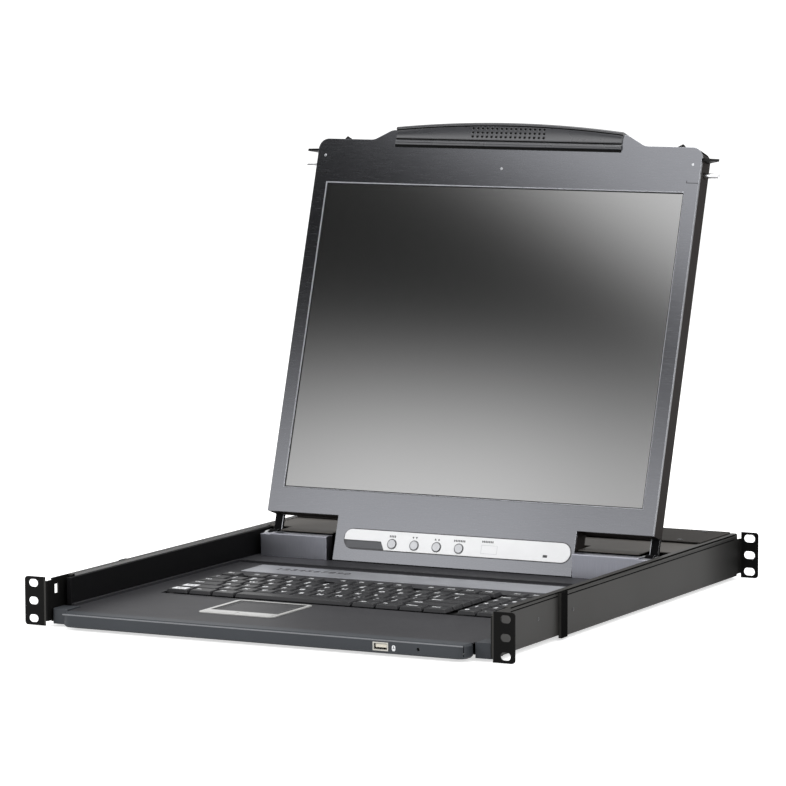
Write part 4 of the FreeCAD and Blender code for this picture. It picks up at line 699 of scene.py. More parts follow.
def screw_tree(material):
    """Pan heads with a cross recess, one on each point, turned to its facing."""
    tree, inputs, keys = start_tree("screw_heads", ("Radius", "Height"))
    times = partial(calculate, tree, "MULTIPLY")
    height = inputs["Height"]
    shank = add_node(tree, "GeometryNodeMeshCylinder",
                     {"Vertices": SCREW_SIDES, "Radius": inputs["Radius"], "Depth": height}).outputs
    dome = add_node(tree, "GeometryNodeExtrudeMesh",
                    {"Mesh": shank["Mesh"], "Selection": shank["Top"], "Individual": False,
                     "Offset Scale": times(height, SCREW_DOME)}, mode="FACES").outputs
    crown = add_node(tree, "GeometryNodeScaleElements",
                     {"Geometry": dome["Mesh"], "Selection": dome["Top"], "Scale": SCREW_CROWN})
    cut = add_node(tree, "GeometryNodeMeshBoolean", {"Mesh 1": crown.outputs[0]}, operation="DIFFERENCE")
    for across, along in (SCREW_CROSS, SCREW_CROSS[::-1]):
        size = vector(tree, times(inputs["Radius"], across), times(inputs["Radius"], along), height)
        bar = add_node(tree, "GeometryNodeMeshCube", {"Size": size}).outputs["Mesh"]
        lift = vector(tree, z=times(height, SCREW_CROSS_LEVEL))
        bar = add_node(tree, "GeometryNodeTransform", {"Geometry": bar, "Translation": lift})
        tree.links.new(bar.outputs[0], cut.inputs["Mesh 2"])
    facing = add_node(tree, "GeometryNodeInputNamedAttribute", {"Name": "facing"}, data_type="FLOAT_VECTOR")
    stand = add_node(tree, "FunctionNodeAlignRotationToVector", {"Vector": facing.outputs["Attribute"]},
                     axis="Z")
    turn = add_node(tree, "FunctionNodeRandomValue", {"Seed": SCREW_SEED}, data_type="FLOAT")
    spin = add_node(tree, "FunctionNodeAxisAngleToRotation", {"Axis": (0, 0, 1), "Angle": turn.outputs[1]})
    both = add_node(tree, "FunctionNodeRotateRotation", {0: stand.outputs[0], 1: spin.outputs[0]},
                    rotation_space="LOCAL")
    spots = add_node(tree, "GeometryNodeInstanceOnPoints",
                     {"Points": inputs["Geometry"], "Instance": cut.outputs["Mesh"],
                      "Rotation": both.outputs[0]})
    end_tree(tree, spots.outputs[0], material)
    return tree, keys


def dimple_tree(material):
    """Sinks rows of round dimples into a fine face that lies in the local XY plane."""
    tree, inputs, keys = start_tree("grip_dimples", ("Pitch", "RowPitch", "HalfWidth", "HalfHeight",
                                                     "Radius", "Lift", "Middle", "Front"))
    maths = partial(calculate, tree)
    times = partial(calculate, tree, "MULTIPLY")
    place = axes_of(tree, add_node(tree, "GeometryNodeInputPosition").outputs[0])
    across = place["X"]
    up = maths("SUBTRACT", place["Y"], inputs["Middle"])
    column = maths("ADD", maths("FLOOR", maths("DIVIDE", across, inputs["Pitch"])), 0.5)
    row = maths("ROUND", maths("DIVIDE", up, inputs["RowPitch"]))
    aside = maths("SUBTRACT", across, times(column, inputs["Pitch"]))
    above = maths("SUBTRACT", up, times(row, inputs["RowPitch"]))
    reach = maths("ADD", times(aside, aside), times(above, above))
    cap = maths("MAXIMUM", maths("SUBTRACT", times(inputs["Radius"], inputs["Radius"]), reach))
    deep = maths("MAXIMUM", maths("SUBTRACT", maths("SQRT", cap), inputs["Lift"]))
    wide = maths("LESS_THAN", maths("ABSOLUTE", across), inputs["HalfWidth"])
    tall = maths("LESS_THAN", maths("ABSOLUTE", up), inputs["HalfHeight"])
    facing = maths("GREATER_THAN", place["Z"], inputs["Front"])
    sink = times(times(deep, times(times(wide, tall), facing)), -1.0)
    move = add_node(tree, "GeometryNodeSetPosition",
                    {"Geometry": inputs["Geometry"], "Offset": vector(tree, z=sink)})
    end_tree(tree, move.outputs["Geometry"], material)
    return tree, keys


# ---- keys

KEY_SKIRT = 3.5 * MM
KEY_STEM = 5.0 * MM
LONG_KEY = 50.0 * MM
LONG_KEY_STEMS = 84.0 * MM
# Each step of a cap, in millimetres: inset, height over the skirt, corner radius. The inset counts less in
# front and more behind.
KEY_LEAN = (0.55, 1.1)
KEY_STEPS = ((0.0, 0.0, 1.0), (0.0, 0.45, 1.0), (0.95, 2.9, 1.5), (1.25, 3.3, 1.7), (1.9, 3.5, 1.9),
             (4.2, 3.3, 2.6))
LEGEND_LETTER = 7.4 * MM
LEGEND_WORD = 4.8 * MM
LEGEND_SECOND = 4.6 * MM
LEGEND_SINK = 0.1 * MM
LEGEND_THICK = 0.24 * MM
# Middle of a lone letter from the key's edge; a word starts closer and grows by a share of its size a letter.
LETTER_ASIDE = 5.2 * MM
WORD_ASIDE = 2.6 * MM
WORD_GROWTH = 0.28
# Shares of the key's depth: the main legend before a second one, alone, and the second one.
LEGEND_ROWS = (0.42, 0.6, 0.74)
LEGENDS = {
    "keys_bottom_row": ["Ctrl", "Fn", "Alt", "Alt", "Fn", "Menu", "Ctrl", "0", ".", "+"],
    "keys_shift_row": ["Shift"] + list("ZXCVBNM,./") + ["Shift", "1", "2", "3"],
    "keys_home_row": ["Caps"] + list("ASDFGHJKL;'") + ["Enter", "4", "5", "6"],
    "keys_letter_row": ["Tab"] + list("QWERTYUIOP[]") + ["\\", "7", "8", "9"],
    "keys_number_row": list("`1234567890-=") + ["Back", "Num", "/", "*"],
    "keys_function_row": ["Esc"] + ["F%d" % number for number in range(1, 13)] + ["Prt", "Scr", "Brk"],
    "space_bar": [""],
}
SECOND_LEGENDS = {"keys_number_row": "~!@#$%^&*()_+", "keys_home_row": " " * 10 + ":" + '"',
                  "keys_shift_row": " " * 8 + "<>?", "keys_letter_row": " " * 11 + "{}|"}
WHITE_KEYS = (("keys_bottom_row", 0), ("keys_shift_row", 0))
WHITE_LABEL = ((4.0, 3.4), (18.0, 13.4))
LABEL_SINK = 0.25 * MM
LABEL_WORDS = 0.08 * MM


def add_key_cap(mesh, low, high):
    """One cap: straight skirt, leaning sides, rounded shoulders and a dished top, on its stems."""
    bottom = high.z - KEY_SKIRT
    rings = []
    for inset, rise, radius in KEY_STEPS:
        front, back = [inset * share * MM for share in KEY_LEAN]
        outline = rounded_rectangle((low.x + inset * MM, low.y + front),
                                    (high.x - inset * MM, high.y - back), radius * MM, steps=3)
        rings.append([(x, y, bottom + rise * MM) for x, y in outline])
    skin(mesh, rings)
    middle = (low + high) / 2
    stems = (-0.5, 0.5) if high.x - low.x > LONG_KEY else (0,)
    for stem in stems:
        x = middle.x + stem * LONG_KEY_STEMS
        add_box(mesh, (x - KEY_STEM / 2, middle.y - KEY_STEM / 2, low.z),
                (x + KEY_STEM / 2, middle.y + KEY_STEM / 2, bottom))


def key_boxes(name):
    """Lowest and highest corners of the keys of a row, from left to right."""
    return sorted([span(corners) for corners in solids(name)], key=lambda pair: pair[0].x)


def key_legends(name, caps):
    """The words of a row: the main one near the back left corner, the second one behind it."""
    seconds = SECOND_LEGENDS.get(name, "").ljust(len(caps))
    items = []
    for i, (low, high) in enumerate(caps):
        word, second = LEGENDS[name][i], seconds[i]
        letter = len(word) == 1
        size = LEGEND_LETTER if letter else LEGEND_WORD
        across = low.x + (LETTER_ASIDE if letter else WORD_ASIDE + size * WORD_GROWTH * len(word))
        level = high.z - LEGEND_SINK
        shared, alone, behind = [low.y + share * (high.y - low.y) for share in LEGEND_ROWS]
        if word and (name, i) not in WHITE_KEYS:
            main = alone if second == " " else shared
            items.append((word, size, Matrix.Translation((across, main, level))))
        if second != " ":
            items.append((second, LEGEND_SECOND, Matrix.Translation((across, behind, level))))
    return items


def make_white_keys():
    """White labels with dark words on the two front left keys."""
    for name, index in WHITE_KEYS:
        low, high = key_boxes(name)[index]
        (x0, y0), (x1, y1) = [(low.x + x * MM, low.y + y * MM) for x, y in WHITE_LABEL]
        outline = rounded_rectangle((x0, y0), (x1, y1), MM)
        mesh = built(add_prism, outline, high.z - LABEL_SINK, high.z + SKIN_GAP)
        add_piece(name + "_label", mesh, body_of(name), "legend_white")
        place = Matrix.Translation(((x0 + x1) / 2, (y0 + y1) / 2, high.z + WORD_GAP))
        mesh = built(add_words, [(LEGENDS[name][index], LEGEND_SECOND, place)], LABEL_WORDS)
        add_piece(name + "_label_words", mesh, body_of(name), "mark_grey")


def make_key_row(name):
    """Caps and legends of one row, in place of its plain keys."""
    caps = key_boxes(name)
    mesh = bmesh.new()
    for low, high in caps:
        add_key_cap(mesh, low, high)
    row = add_piece(name + "_caps", mesh, body_of(name), "key_plastic")
    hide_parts(name)
    items = key_legends(name, caps)
    if items:
        mesh = built(add_words, items, LEGEND_THICK)
        add_piece(name + "_legends", mesh, body_of(name), "legend_white")


# ---- handle

HANDLE_SPACING = 6.0 * MM
HANDLE_END_ROUND = 0.7 * MM
# Front of the grip. Foot: height over the lower edge and depth under the proud face, in millimetres: a
# rebate, a rounded lip and a groove. Crown: distance under the arched top, depth: a crease and a thin ridge.
# The scoop between them has a depth at its foot, one at its crown, and a belly.
HANDLE_FOOT = ((0.0, 2.95), (0.0, 2.3), (1.9, 2.2), (2.1, 1.3), (2.7, 0.6), (3.6, 0.15), (4.6, 0.05),
               (5.6, 0.3), (6.4, 0.9), (7.1, 1.8), (7.9, 2.2), (8.6, 1.9), (9.2, 1.4))
HANDLE_CROWN = ((3.9, 1.0), (3.7, 1.5), (3.1, 1.5), (2.9, 0.4), (2.5, 0.1), (1.4, 0.0), (0.8, 0.3),
                (0.35, 0.9), (0.0, 2.0))
SCOOP_BELLY = 0.5
# Heights of the rebate, the groove and the crease, which are painted near black as shade.
HANDLE_REBATE = 2.0 * MM
HANDLE_GROOVE = (7.3 * MM, 8.4 * MM)
HANDLE_CREASE = (2.95 * MM, 3.85 * MM)
HANDLE_BACK = 2.95
HANDLE_BLEND = 0.5
HANDLE_CHAMFER = (0.7 * MM, 1.0 * MM)
HANDLE_SMOOTH = math.radians(38)
DIMPLE_COLUMNS = 16
DIMPLE_ROWS = 3
DIMPLE_PITCH = 5.0 * MM
DIMPLE_ROW_PITCH = 4.1 * MM
DIMPLE_MIDDLE = 15.8 * MM
DIMPLE_BALL = 1.6 * MM
DIMPLE_LIFT = 0.8 * MM
DIMPLE_STEPS = 12
# Radius of the near-black painted shade in each dimple.
DIMPLE_EDGE = 1.2 * MM
DIMPLES_WIDE = DIMPLE_PITCH * DIMPLE_COLUMNS / 2
DIMPLES_TALL = DIMPLE_ROW_PITCH * DIMPLE_ROWS / 2


def scoop_depth(share):
    """Depth of the scoop in millimetres, from its foot at 0 to its crown at 1."""
    foot, crown = HANDLE_FOOT[-1][1], HANDLE_CROWN[0][1]
    return foot + (crown - foot) * share + SCOOP_BELLY * 4 * share * (1 - share)


def handle_stops(half):
    """Places of the sections across the grip: close together under the dimples, wide apart elsewhere."""
    steps = range(DIMPLE_COLUMNS * DIMPLE_STEPS + 1)
    fine = [i * DIMPLE_PITCH / DIMPLE_STEPS - DIMPLES_WIDE for i in steps]
    rest = half - HANDLE_END_ROUND - DIMPLES_WIDE
    count = round(rest / HANDLE_SPACING)
    wide = [DIMPLES_WIDE + rest * i / count for i in range(1, count + 1)] + [half]
    return [-x for x in wide[::-1]] + fine + wide


def in_dimple(across, up):
    """Whether a place on the grip, measured from the middle of the dimples, lies in one of them."""
    aside = across - DIMPLE_PITCH * (math.floor(across / DIMPLE_PITCH) + 0.5)
    above = up - DIMPLE_ROW_PITCH * round(up / DIMPLE_ROW_PITCH)
    return abs(across) < DIMPLES_WIDE and abs(up) < DIMPLES_TALL and math.hypot(aside, above) < DIMPLE_EDGE


def make_handle():
    """Grip with an arched top: a rebate, a round lip, a groove, a scoop with rows of dimples, a ridge."""
    low, high = panel_span("handle")
    half = high.x
    sagitta = high.y - max(c.y for c in corners_of("handle", PANEL) if abs(c.x) > half - MM)
    radius = (half ** 2 + sagitta ** 2) / (2 * sagitta)
    shelf = panel_span("lcd_bezel")[1].y + SKIN_GAP
    foot = low.y + HANDLE_FOOT[-1][0] * MM
    reach = DIMPLE_ROWS * DIMPLE_STEPS // 2
    middle = low.y + DIMPLE_MIDDLE
    levels = [middle + i * DIMPLE_ROW_PITCH / DIMPLE_STEPS for i in range(-reach, reach + 1)]
    crown_gap = HANDLE_CROWN[0][0] * MM
    shares = [(level - foot) / (high.y - crown_gap - foot) for level in levels]
    sections = []
    for x in handle_stops(half):
        top = high.y - radius + math.sqrt(radius ** 2 - x ** 2)
        crown = top - crown_gap
        sunk = HANDLE_END_ROUND if abs(x) > half - HANDLE_END_ROUND / 2 else 0.0
        fine = abs(x) < DIMPLES_WIDE + DIMPLE_PITCH / 4
        scoop = levels if fine else [foot + share * (crown - foot) for share in shares]
        profile = [(low.y + up * MM, depth) for up, depth in HANDLE_FOOT]
        profile += [(level, scoop_depth((level - foot) / (crown - foot))) for level in scoop]
        profile += [(top - down * MM, depth) for down, depth in HANDLE_CROWN]
        section = []
        for up, depth in profile:
            keep = min(1.0, max(0.0, (HANDLE_BACK - depth) / HANDLE_BLEND))
            section.append((x, up, high.z - depth * MM - sunk * keep))
        section += [(x, top, low.z + HANDLE_CHAMFER[1]), (x, top - HANDLE_CHAMFER[0], low.z),
                    (x, shelf, low.z), (x, shelf, high.z - HANDLE_BACK * MM)]
        sections.append(section)
    tree, keys = dimple_tree(FINISH["handle_gloss"])
    made = run_tree(built(skin, sections), tree, keys, {
        "Pitch": DIMPLE_PITCH, "RowPitch": DIMPLE_ROW_PITCH, "HalfWidth": DIMPLES_WIDE,
        "HalfHeight": DIMPLES_TALL, "Radius": DIMPLE_BALL, "Lift": DIMPLE_LIFT, "Middle": middle,
        "Front": high.z - HANDLE_BACK * MM})
    for part in made.faces:
        spot = part.calc_center_median()
        up = spot.y - low.y
        arch = high.y - radius + math.sqrt(radius ** 2 - min(half, abs(spot.x)) ** 2)
        # Painted shade: faces in the rebate, the groove, the crease and the dimples take the near-black
        # colour.
        black = up < HANDLE_REBATE or HANDLE_GROOVE[0] < up < HANDLE_GROOVE[1]
        black = black or HANDLE_CREASE[0] < arch - spot.y < HANDLE_CREASE[1]
        black = black or in_dimple(spot.x, spot.y - middle)
        if black and spot.z > high.z - (HANDLE_BACK - 0.05) * MM:
            part.material_index = 1
    grip = add_piece("handle_grip", made, "panel", "handle_gloss", PANEL)
    grip.data.materials.append(FINISH["dimple_black"])
    grip.data.polygons.foreach_set("use_smooth", [True] * len(grip.data.polygons))
    grip.data.set_sharp_from_angle(angle=HANDLE_SMOOTH)
    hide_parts("handle")


# ---- panel trim

# Profiles in millimetres: outside the opening, and over the face or the film.
SCREEN_BORDER = 4.0 * MM
SCREEN_EDGE = ((0.75, 0.02), (0.45, 0.2), (0.1, 0.12), (-0.25, -0.5), (-0.25, -1.1), (0.0, -1.1), (0.0, 0.02))
SCREEN_GASKET = ((0.0, 0.0), (0.0, 0.55), (-0.5, 0.5), (-1.1, 0.2), (-1.2, 0.02))
# Joints under the catches: how far under the pin, their ends from the panel's edge, their width and hook.
SLIT_DROP = 7.0 * MM
SLIT_ENDS = (0.15 * MM, 12.5 * MM)
SLIT_WIDE = 0.5 * MM
SLIT_HOOK = 2.4 * MM
SLIT_SINK = 0.3 * MM
# Margin of the dark painted shadow round the control strip.
STRIP_SHADOW_MARGIN = 0.9 * MM
STRIP_TAB = ((2.0, 0.6), (45.0, 7.2))
TAB_ROUND = 2.2 * MM
TAB_SINK = 0.2 * MM
TAB_PROUD = 0.25 * MM
# Rounding and height of that painted shadow.
STRIP_SHADOW_ROUND = 0.98
STRIP_SHADOW_PROUD = 0.08 * MM
STRIP_WINDOW = ((30.0 * MM, -5.0 * MM), (46.0 * MM, 2.6 * MM))
WINDOW_PROFILE = ((0.3, -0.05), (0.3, 0.05), (0.0, 0.05), (0.0, -0.05))
STRIP_MARKS = ((1, "bars", 4), (2, "down", 2), (3, "up", 2), (4, "bars", 7))
# Half width and step of the marks.
MARK_SIZES = {"bars": (0.55 * MM, 1.75 * MM), "up": (1.1 * MM, 3.6 * MM), "down": (1.1 * MM, 3.6 * MM)}
MARK_RISE = 6.4 * MM
MARK_TALL = 1.9 * MM
MARK_SINK = 0.05 * MM
MARK_PROUD = 0.06 * MM
WINDOW_MARKS = (7, 35.8 * MM, 5.2 * MM)
BUTTON_RING = ((5.1, -0.1), (5.0, 0.16), (4.6, 0.2), (4.3, -0.1))
RING_STEPS = 28


def make_screen_trim():
    """Bevelled edge of the opening in a lighter copy of the bezel's metal, a painted highlight; and the dark
    gasket between bezel and film.
    """
    face = panel_span("lcd_bezel")[1].z
    film_low, film_high = panel_span("lcd_screen")
    border = Vector((SCREEN_BORDER, SCREEN_BORDER, 0))
    for name, slot, finish, profile, level in (
            ("screen_edge", "bezel_metal", "edge_slate", SCREEN_EDGE, face),
            ("screen_gasket", "panel_black", "hard_black", SCREEN_GASKET, film_high.z)):
        mesh = built(add_frame, film_low + border, film_high - border, profile, level)
        add_piece(name, mesh, "panel", finish, PANEL)


def make_bezel_slits():
    """Dark joints that run in from both edges under the catches, hooked at their inner ends."""
    high = panel_span("lcd_bezel")[1]
    level = (PANEL.inverted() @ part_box("catch_pin_left")[0]).y - SLIT_DROP
    outer, inner = high.x - SLIT_ENDS[0], high.x - SLIT_ENDS[1]
    for name, side in SIDES:
        mesh = bmesh.new()
        for x0, x1, y0, y1 in ((inner, outer, level, level + SLIT_WIDE),
                               (inner, inner + SLIT_WIDE, level + SLIT_WIDE, level + SLIT_HOOK)):
            a, b = sorted((side * x0, side * x1))
            add_box(mesh, (a, y0, high.z - SLIT_SINK), (b, y1, high.z + MARK_PROUD))
        add_piece("bezel_joint_" + name, mesh, "panel", "hard_black", PANEL)


def add_marks(mesh, kind, count, middle, base, level):
    """A centred row of bars, or of triangles that point up or down."""
    half, step = MARK_SIZES[kind]
    top = base + MARK_TALL
    for number in range(count):
        x = middle + (number - (count - 1) / 2) * step
        outline = {"bars": ((x - half, base), (x + half, base), (x + half, top), (x - half, top)),
                   "up": ((x - half, base), (x + half, base), (x, top)),
                   "down": ((x, base), (x + half, top), (x - half, top))}[kind]
        add_prism(mesh, outline, level - MARK_SINK, level + MARK_PROUD)


def make_strip_trim():
    """Grey tab, a dark border round the strip that is painted shadow, plain marks over the buttons, button
    rings and a pale window.
    """
    low, high = panel_span("control_strip")
    bezel = panel_span("lcd_bezel")[1].z
    start, end = [(low.x + x * MM, low.y + y * MM) for x, y in STRIP_TAB]
    mesh = built(add_prism, rounded_rectangle(start, end, TAB_ROUND), bezel - TAB_SINK, bezel + TAB_PROUD)
    add_piece("strip_tab", mesh, "panel", "tab_grey", PANEL)
    # Painted shadow: a dark rounded border just outside the strip.
    half = (high.y - low.y) / 2 + STRIP_SHADOW_MARGIN
    border = rounded_rectangle((low.x - STRIP_SHADOW_MARGIN, low.y - STRIP_SHADOW_MARGIN),
                               (high.x + STRIP_SHADOW_MARGIN, high.y + STRIP_SHADOW_MARGIN), half * STRIP_SHADOW_ROUND, steps=10)
    mesh = built(add_prism, border, bezel - TAB_SINK, bezel + STRIP_SHADOW_PROUD)
    add_piece("strip_painted_shadow", mesh, "panel", "mark_grey", PANEL)
    marks = bmesh.new()
    rings = bmesh.new()
    for index, kind, count in STRIP_MARKS:
        middle = sum(panel_span("control_button_%d" % index), Vector()) / 2
        add_marks(marks, kind, count, middle.x, middle.y + MARK_RISE, high.z)
        place = Vector((middle.x, middle.y, high.z))
        skin(rings, [[place + point for point in circle(out * MM, up * MM, RING_STEPS)]
                     for out, up in BUTTON_RING], "joined")
    add_marks(marks, "bars", *WINDOW_MARKS, high.z)
    add_piece("strip_marks", marks, "panel", "mark_grey", PANEL)
    add_piece("button_rings", rings, "panel", "ring_grey", PANEL)
    mesh = built(add_frame, *STRIP_WINDOW, WINDOW_PROFILE, high.z)
    add_piece("strip_window", mesh, "panel", "faint_grey", PANEL)


# ---- drawer and chassis trim

LIP_EDGE = 1.8 * MM
# Profile and end gaps of the pale painted-highlight strip on the lip's chamfer.
LIP_PROFILE = ((0.45, 0.05), (1.0, 0.05), (1.0, -0.15), (0.45, -0.15))
LIP_ENDS = 2 * MM
SIGN_PLACE = (6.0 * MM, 2.2 * MM)
# The sign's body and bar: width, height, middle over its foot, radius; its stem: lower and upper corner.
SIGN_BODY = (3.4, 5.2, 0, 1.6)
SIGN_BAR = (2.0, 0.4, -0.3, 0.15)
SIGN_STEM = (Vector((-0.25, -0.2, 0.1)) * MM, Vector((0.25, 1.7, 0.2)) * MM)
SIGN_THICK = 0.12 * MM
PORT_PROUD = 0.05 * MM
PORT_FLANGE = ((-0.3, 0.05), (0.9, 0.05), (0.8, 0.3), (-0.2, 0.3))
PORT_TONGUE = (Vector((1.6, 0.6, 2.0)) * MM, Vector((0.9, 3.0, 0.8)) * MM)
STRIP_DIGIT = 13.0 * MM
DIGIT_START = 20 * MM
DIGIT_STEP = 8 * MM
DIGIT_RISE = 3 * MM
DIGIT_THICK = 0.1 * MM
# Dark painted-shade lines on the wall and bracket tops, and a pale painted-highlight rim inside the walls.
TOP_SHADE_LINE = (1.25 * MM, 0.15 * MM)
WALL_SHADE_LINE = 1.0 * MM
WALL_SHADE_LINE_DROP = 3.4 * MM
WALL_RIM = (2.9 * MM, 0.05 * MM)
WALL_RIM_START = 40 * MM
WALL_FRONT = 37 * MM
WALL_UPPER = 15 * MM
WALL_STRIP_END = 3 * MM
BRACKET_SHADE_LINE_END = 12 * MM
RIM_SUNK = 0.12 * MM
# A strip lies between these distances from its wall.
THIN_STRIP = (0.01 * MM, 0.1 * MM)
BLADE_START = 20 * MM
COLLAR_SHEET = 0.3 * MM
COLLAR_DEPTH = 12.0 * MM
PAD_RIM = 4.0 * MM
PAD_BAR = 17.0 * MM
PAD_LINE = ((-4.0, 0.01), (-4.0, 0.32), (-4.5, 0.32), (-4.5, 0.01))
PIN_HEAD = ((0.0, -0.5), (4.3, -0.5), (4.3, 0.25), (3.9, 0.75), (2.9, 1.05), (1.4, 1.18), (0.0, 1.2))
# Width, run, rounding and heights of the pale painted-highlight strips on the hinge arms.
HINGE_GLINT = 0.7 * MM
HINGE_GLINT_RUN = (6.8 * MM, 22.0 * MM)
HINGE_GLINT_ROUND = 0.3 * MM
HINGE_GLINT_LEVELS = (-0.2 * MM, 0.12 * MM)


def centred_rectangle(wide, tall, up, radius):
    """Outline of a rectangle with round corners, centred across; all in millimetres."""
    low, high = Vector((-wide / 2, up - tall / 2)), Vector((wide / 2, up + tall / 2))
    return rounded_rectangle(low * MM, high * MM, radius * MM)


def make_port_trim():
    """Plain pictogram beside the port, the port's flange and its pale tongue."""
    low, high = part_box("mouse_port")
    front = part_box("front_lip")[0].y
    turn = Matrix.Rotation(math.radians(90), 4, "X")
    place = Matrix.Translation((high.x + SIGN_PLACE[0], front + SKIN_GAP, low.z + SIGN_PLACE[1])) @ turn
    mesh = built(add_prism, centred_rectangle(*SIGN_BODY), 0, SIGN_THICK)
    add_piece("port_sign", mesh, "drawer", "legend_white", place)
    mesh = built(add_box, *SIGN_STEM)
    add_prism(mesh, centred_rectangle(*SIGN_BAR), SIGN_STEM[0].z, SIGN_STEM[1].z)
    add_piece("port_sign_lines", mesh, "drawer", "hard_black", place)
    mesh = built(add_frame, (low.x, low.z), (high.x, high.z), PORT_FLANGE)
    place = Matrix.Translation((0, front + PORT_PROUD, 0)) @ turn
    add_piece("port_flange", mesh, "drawer", "port_shell", place)
    mesh = built(add_box, low + PORT_TONGUE[0], high - PORT_TONGUE[1])
    add_piece("port_tongue", mesh, "drawer", "port_cream")


def make_lip_trim():
    """A pale strip on the front lip's upper edge, a painted highlight, and the numbers of the marking strip.
    """
    low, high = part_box("front_lip")
    profile = [(low.y + LIP_EDGE * (1 - share) - proud * MM, high.z - LIP_EDGE * share + proud * MM)
               for share, proud in LIP_PROFILE]
    ends = (low.x + LIP_ENDS, high.x - LIP_ENDS)
    mesh = built(skin, [[(x, y, z) for y, z in profile] for x in ends])
    add_piece("lip_painted_highlight", mesh, "drawer", "lip_shine")
    low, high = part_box("marking_strip")
    middle = (low.y + high.y) / 2 + DIGIT_RISE
    items = []
    for number in range(1, 11):
        x = low.x + DIGIT_START + DIGIT_STEP * number
        place = Matrix.Translation((x, middle, high.z + WORD_GAP))
        items.append((str(number % 10), STRIP_DIGIT, place))
    mesh = built(add_words, items, DIGIT_THICK)
    add_piece("marking_numbers", mesh, "drawer", "mark_grey")


def make_pad_well():
    """Dark sloping border between the touchpad's frame and its surface, with a fine bright line inside."""
    low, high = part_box("touchpad_frame")
    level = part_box("touchpad_surface")[1].z
    start = (low.x + PAD_RIM, low.y + PAD_BAR)
    end = (high.x - PAD_RIM, high.y - PAD_RIM)
    well = ((-0.05, 0.01), (-0.05, (high.z - level) / MM - 0.1), (-4.0, 0.25), (-4.0, 0.01))
    for name, slot, finish, profile in (("pad_well", "pad_grey", "hard_black", well),
                                        ("pad_line", "trim_silver", "ring_grey", PAD_LINE)):
        add_piece(name, built(add_frame, start, end, profile, level), "drawer", finish)


def make_pin_heads():
    """Domed chrome heads on the outer ends of the hinge pins."""
    low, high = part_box("hinge_pins")
    profile = [(radius * MM, height * MM) for radius, height in PIN_HEAD]
    mesh = bmesh.new()
    for x, side in ((low.x, -1), (high.x, 1)):
        place = Matrix.Translation((x, (low.y + high.y) / 2, (low.z + high.z) / 2))
        add_turned(mesh, profile, RING_STEPS, place @ Matrix.Rotation(math.radians(90 * side), 4, "Y"))
    add_piece("hinge_pin_heads", mesh, body_of("hinge_pins"), "chrome")


def make_hinge_glints():
    """Painted highlight: pale metal strips along the inner front corners of the hinge arms, for their glint.
    """
    for name, side in SIDES:
        blade = [c for c in corners_of("hinge_arm_" + name, PANEL) if c.y > BLADE_START]
        inner = min(side * c.x for c in blade)
        front = max(c.z for c in blade)
        start, end = sorted((side * inner, side * (inner + HINGE_GLINT)))
        outline = rounded_rectangle((start, HINGE_GLINT_RUN[0]), (end, HINGE_GLINT_RUN[1]), HINGE_GLINT_ROUND)
        mesh = built(add_prism, outline, *[front + level for level in HINGE_GLINT_LEVELS])
        add_piece("hinge_glint_" + name, mesh, "panel", "edge_slate", PANEL)


def make_collars():
    """Matt black bands round the front ends of the rear brackets."""
    for name, side in SIDES:
        start, ring = bracket_mouth(name)
        outer = outermost(ring, side)
        inner = min(side * c.x for c in ring)
        bottom, top = min(c.z for c in ring), max(c.z for c in ring)
        sheet, gap = COLLAR_SHEET, SKIN_GAP
        outline = [(inner, bottom - sheet), (outer + sheet, bottom - sheet), (outer + sheet, top + sheet),
                   (inner, top + sheet), (inner, top + gap), (outer + gap, top + gap),
                   (outer + gap, bottom - gap), (inner, bottom - gap)]
        outline = [(side * x, -z) for x, z in outline]
        mesh = built(add_prism, outline, start - sheet, start + COLLAR_DEPTH)
        place = Matrix.Rotation(math.radians(-90), 4, "X")
        add_piece("bracket_collar_" + name, mesh, body_of("rear_bracket_" + name),
                  "collar_black", place)


def add_strip(mesh, side, outer, levels, stretch):
    """A thin strip on a wall: its distance from the middle, its heights and its run from front to back."""
    a, b = sorted(side * (outer + gap) for gap in THIN_STRIP)
    add_box(mesh, (a, stretch[0], levels[0]), (b, stretch[1], levels[1]))


def make_wall_shade_lines():
    """Dark lines along the tops of the walls and brackets outside, painted shade for the steps and gaps
    there;
    and a pale rim along the walls inside, a painted highlight.
    """
    for name, side in SIDES:
        wall = wall_corners(name)
        outer = outermost(wall, side)
        inner = min(side * c.x for c in wall if c.z > WALL_UPPER)
        top = max(c.z for c in wall)
        back = max(c.y for c in wall) - WALL_STRIP_END
        start, ring = bracket_mouth(name)
        shade_line = (top - WALL_SHADE_LINE_DROP - WALL_SHADE_LINE, top - WALL_SHADE_LINE_DROP)
        mesh = bmesh.new()
        # Painted shade: dark strips on the wall's outer face at its top and a little lower.
        add_strip(mesh, side, outer, (top - TOP_SHADE_LINE[0], top - TOP_SHADE_LINE[1]), (WALL_FRONT, back))
        add_strip(mesh, side, outer, shade_line, (WALL_FRONT, start - MM))
        add_piece("wall_shade_line_" + name, mesh, "chassis", "collar_black")
        # Painted shade: a dark strip along the bracket at the same height.
        mesh = built(add_strip, side, outermost(ring, side), shade_line,
                     (start + COLLAR_DEPTH, back - BRACKET_SHADE_LINE_END))
        add_piece("bracket_shade_line_" + name, mesh, body_of("rear_bracket_" + name),
                  "collar_black")
        # Pale rim inside the wall's top edge: a painted highlight.
        mesh = built(add_strip, side, inner - RIM_SUNK, (top - WALL_RIM[0], top - WALL_RIM[1]),
                     (WALL_RIM_START, back))
        add_piece("wall_rim_" + name, mesh, "chassis", "rim_grey")


# ---- screws

UP, DOWN, BACK = Vector((0, 0, 1)), Vector((0, 0, -1)), Vector((0, 1, 0))
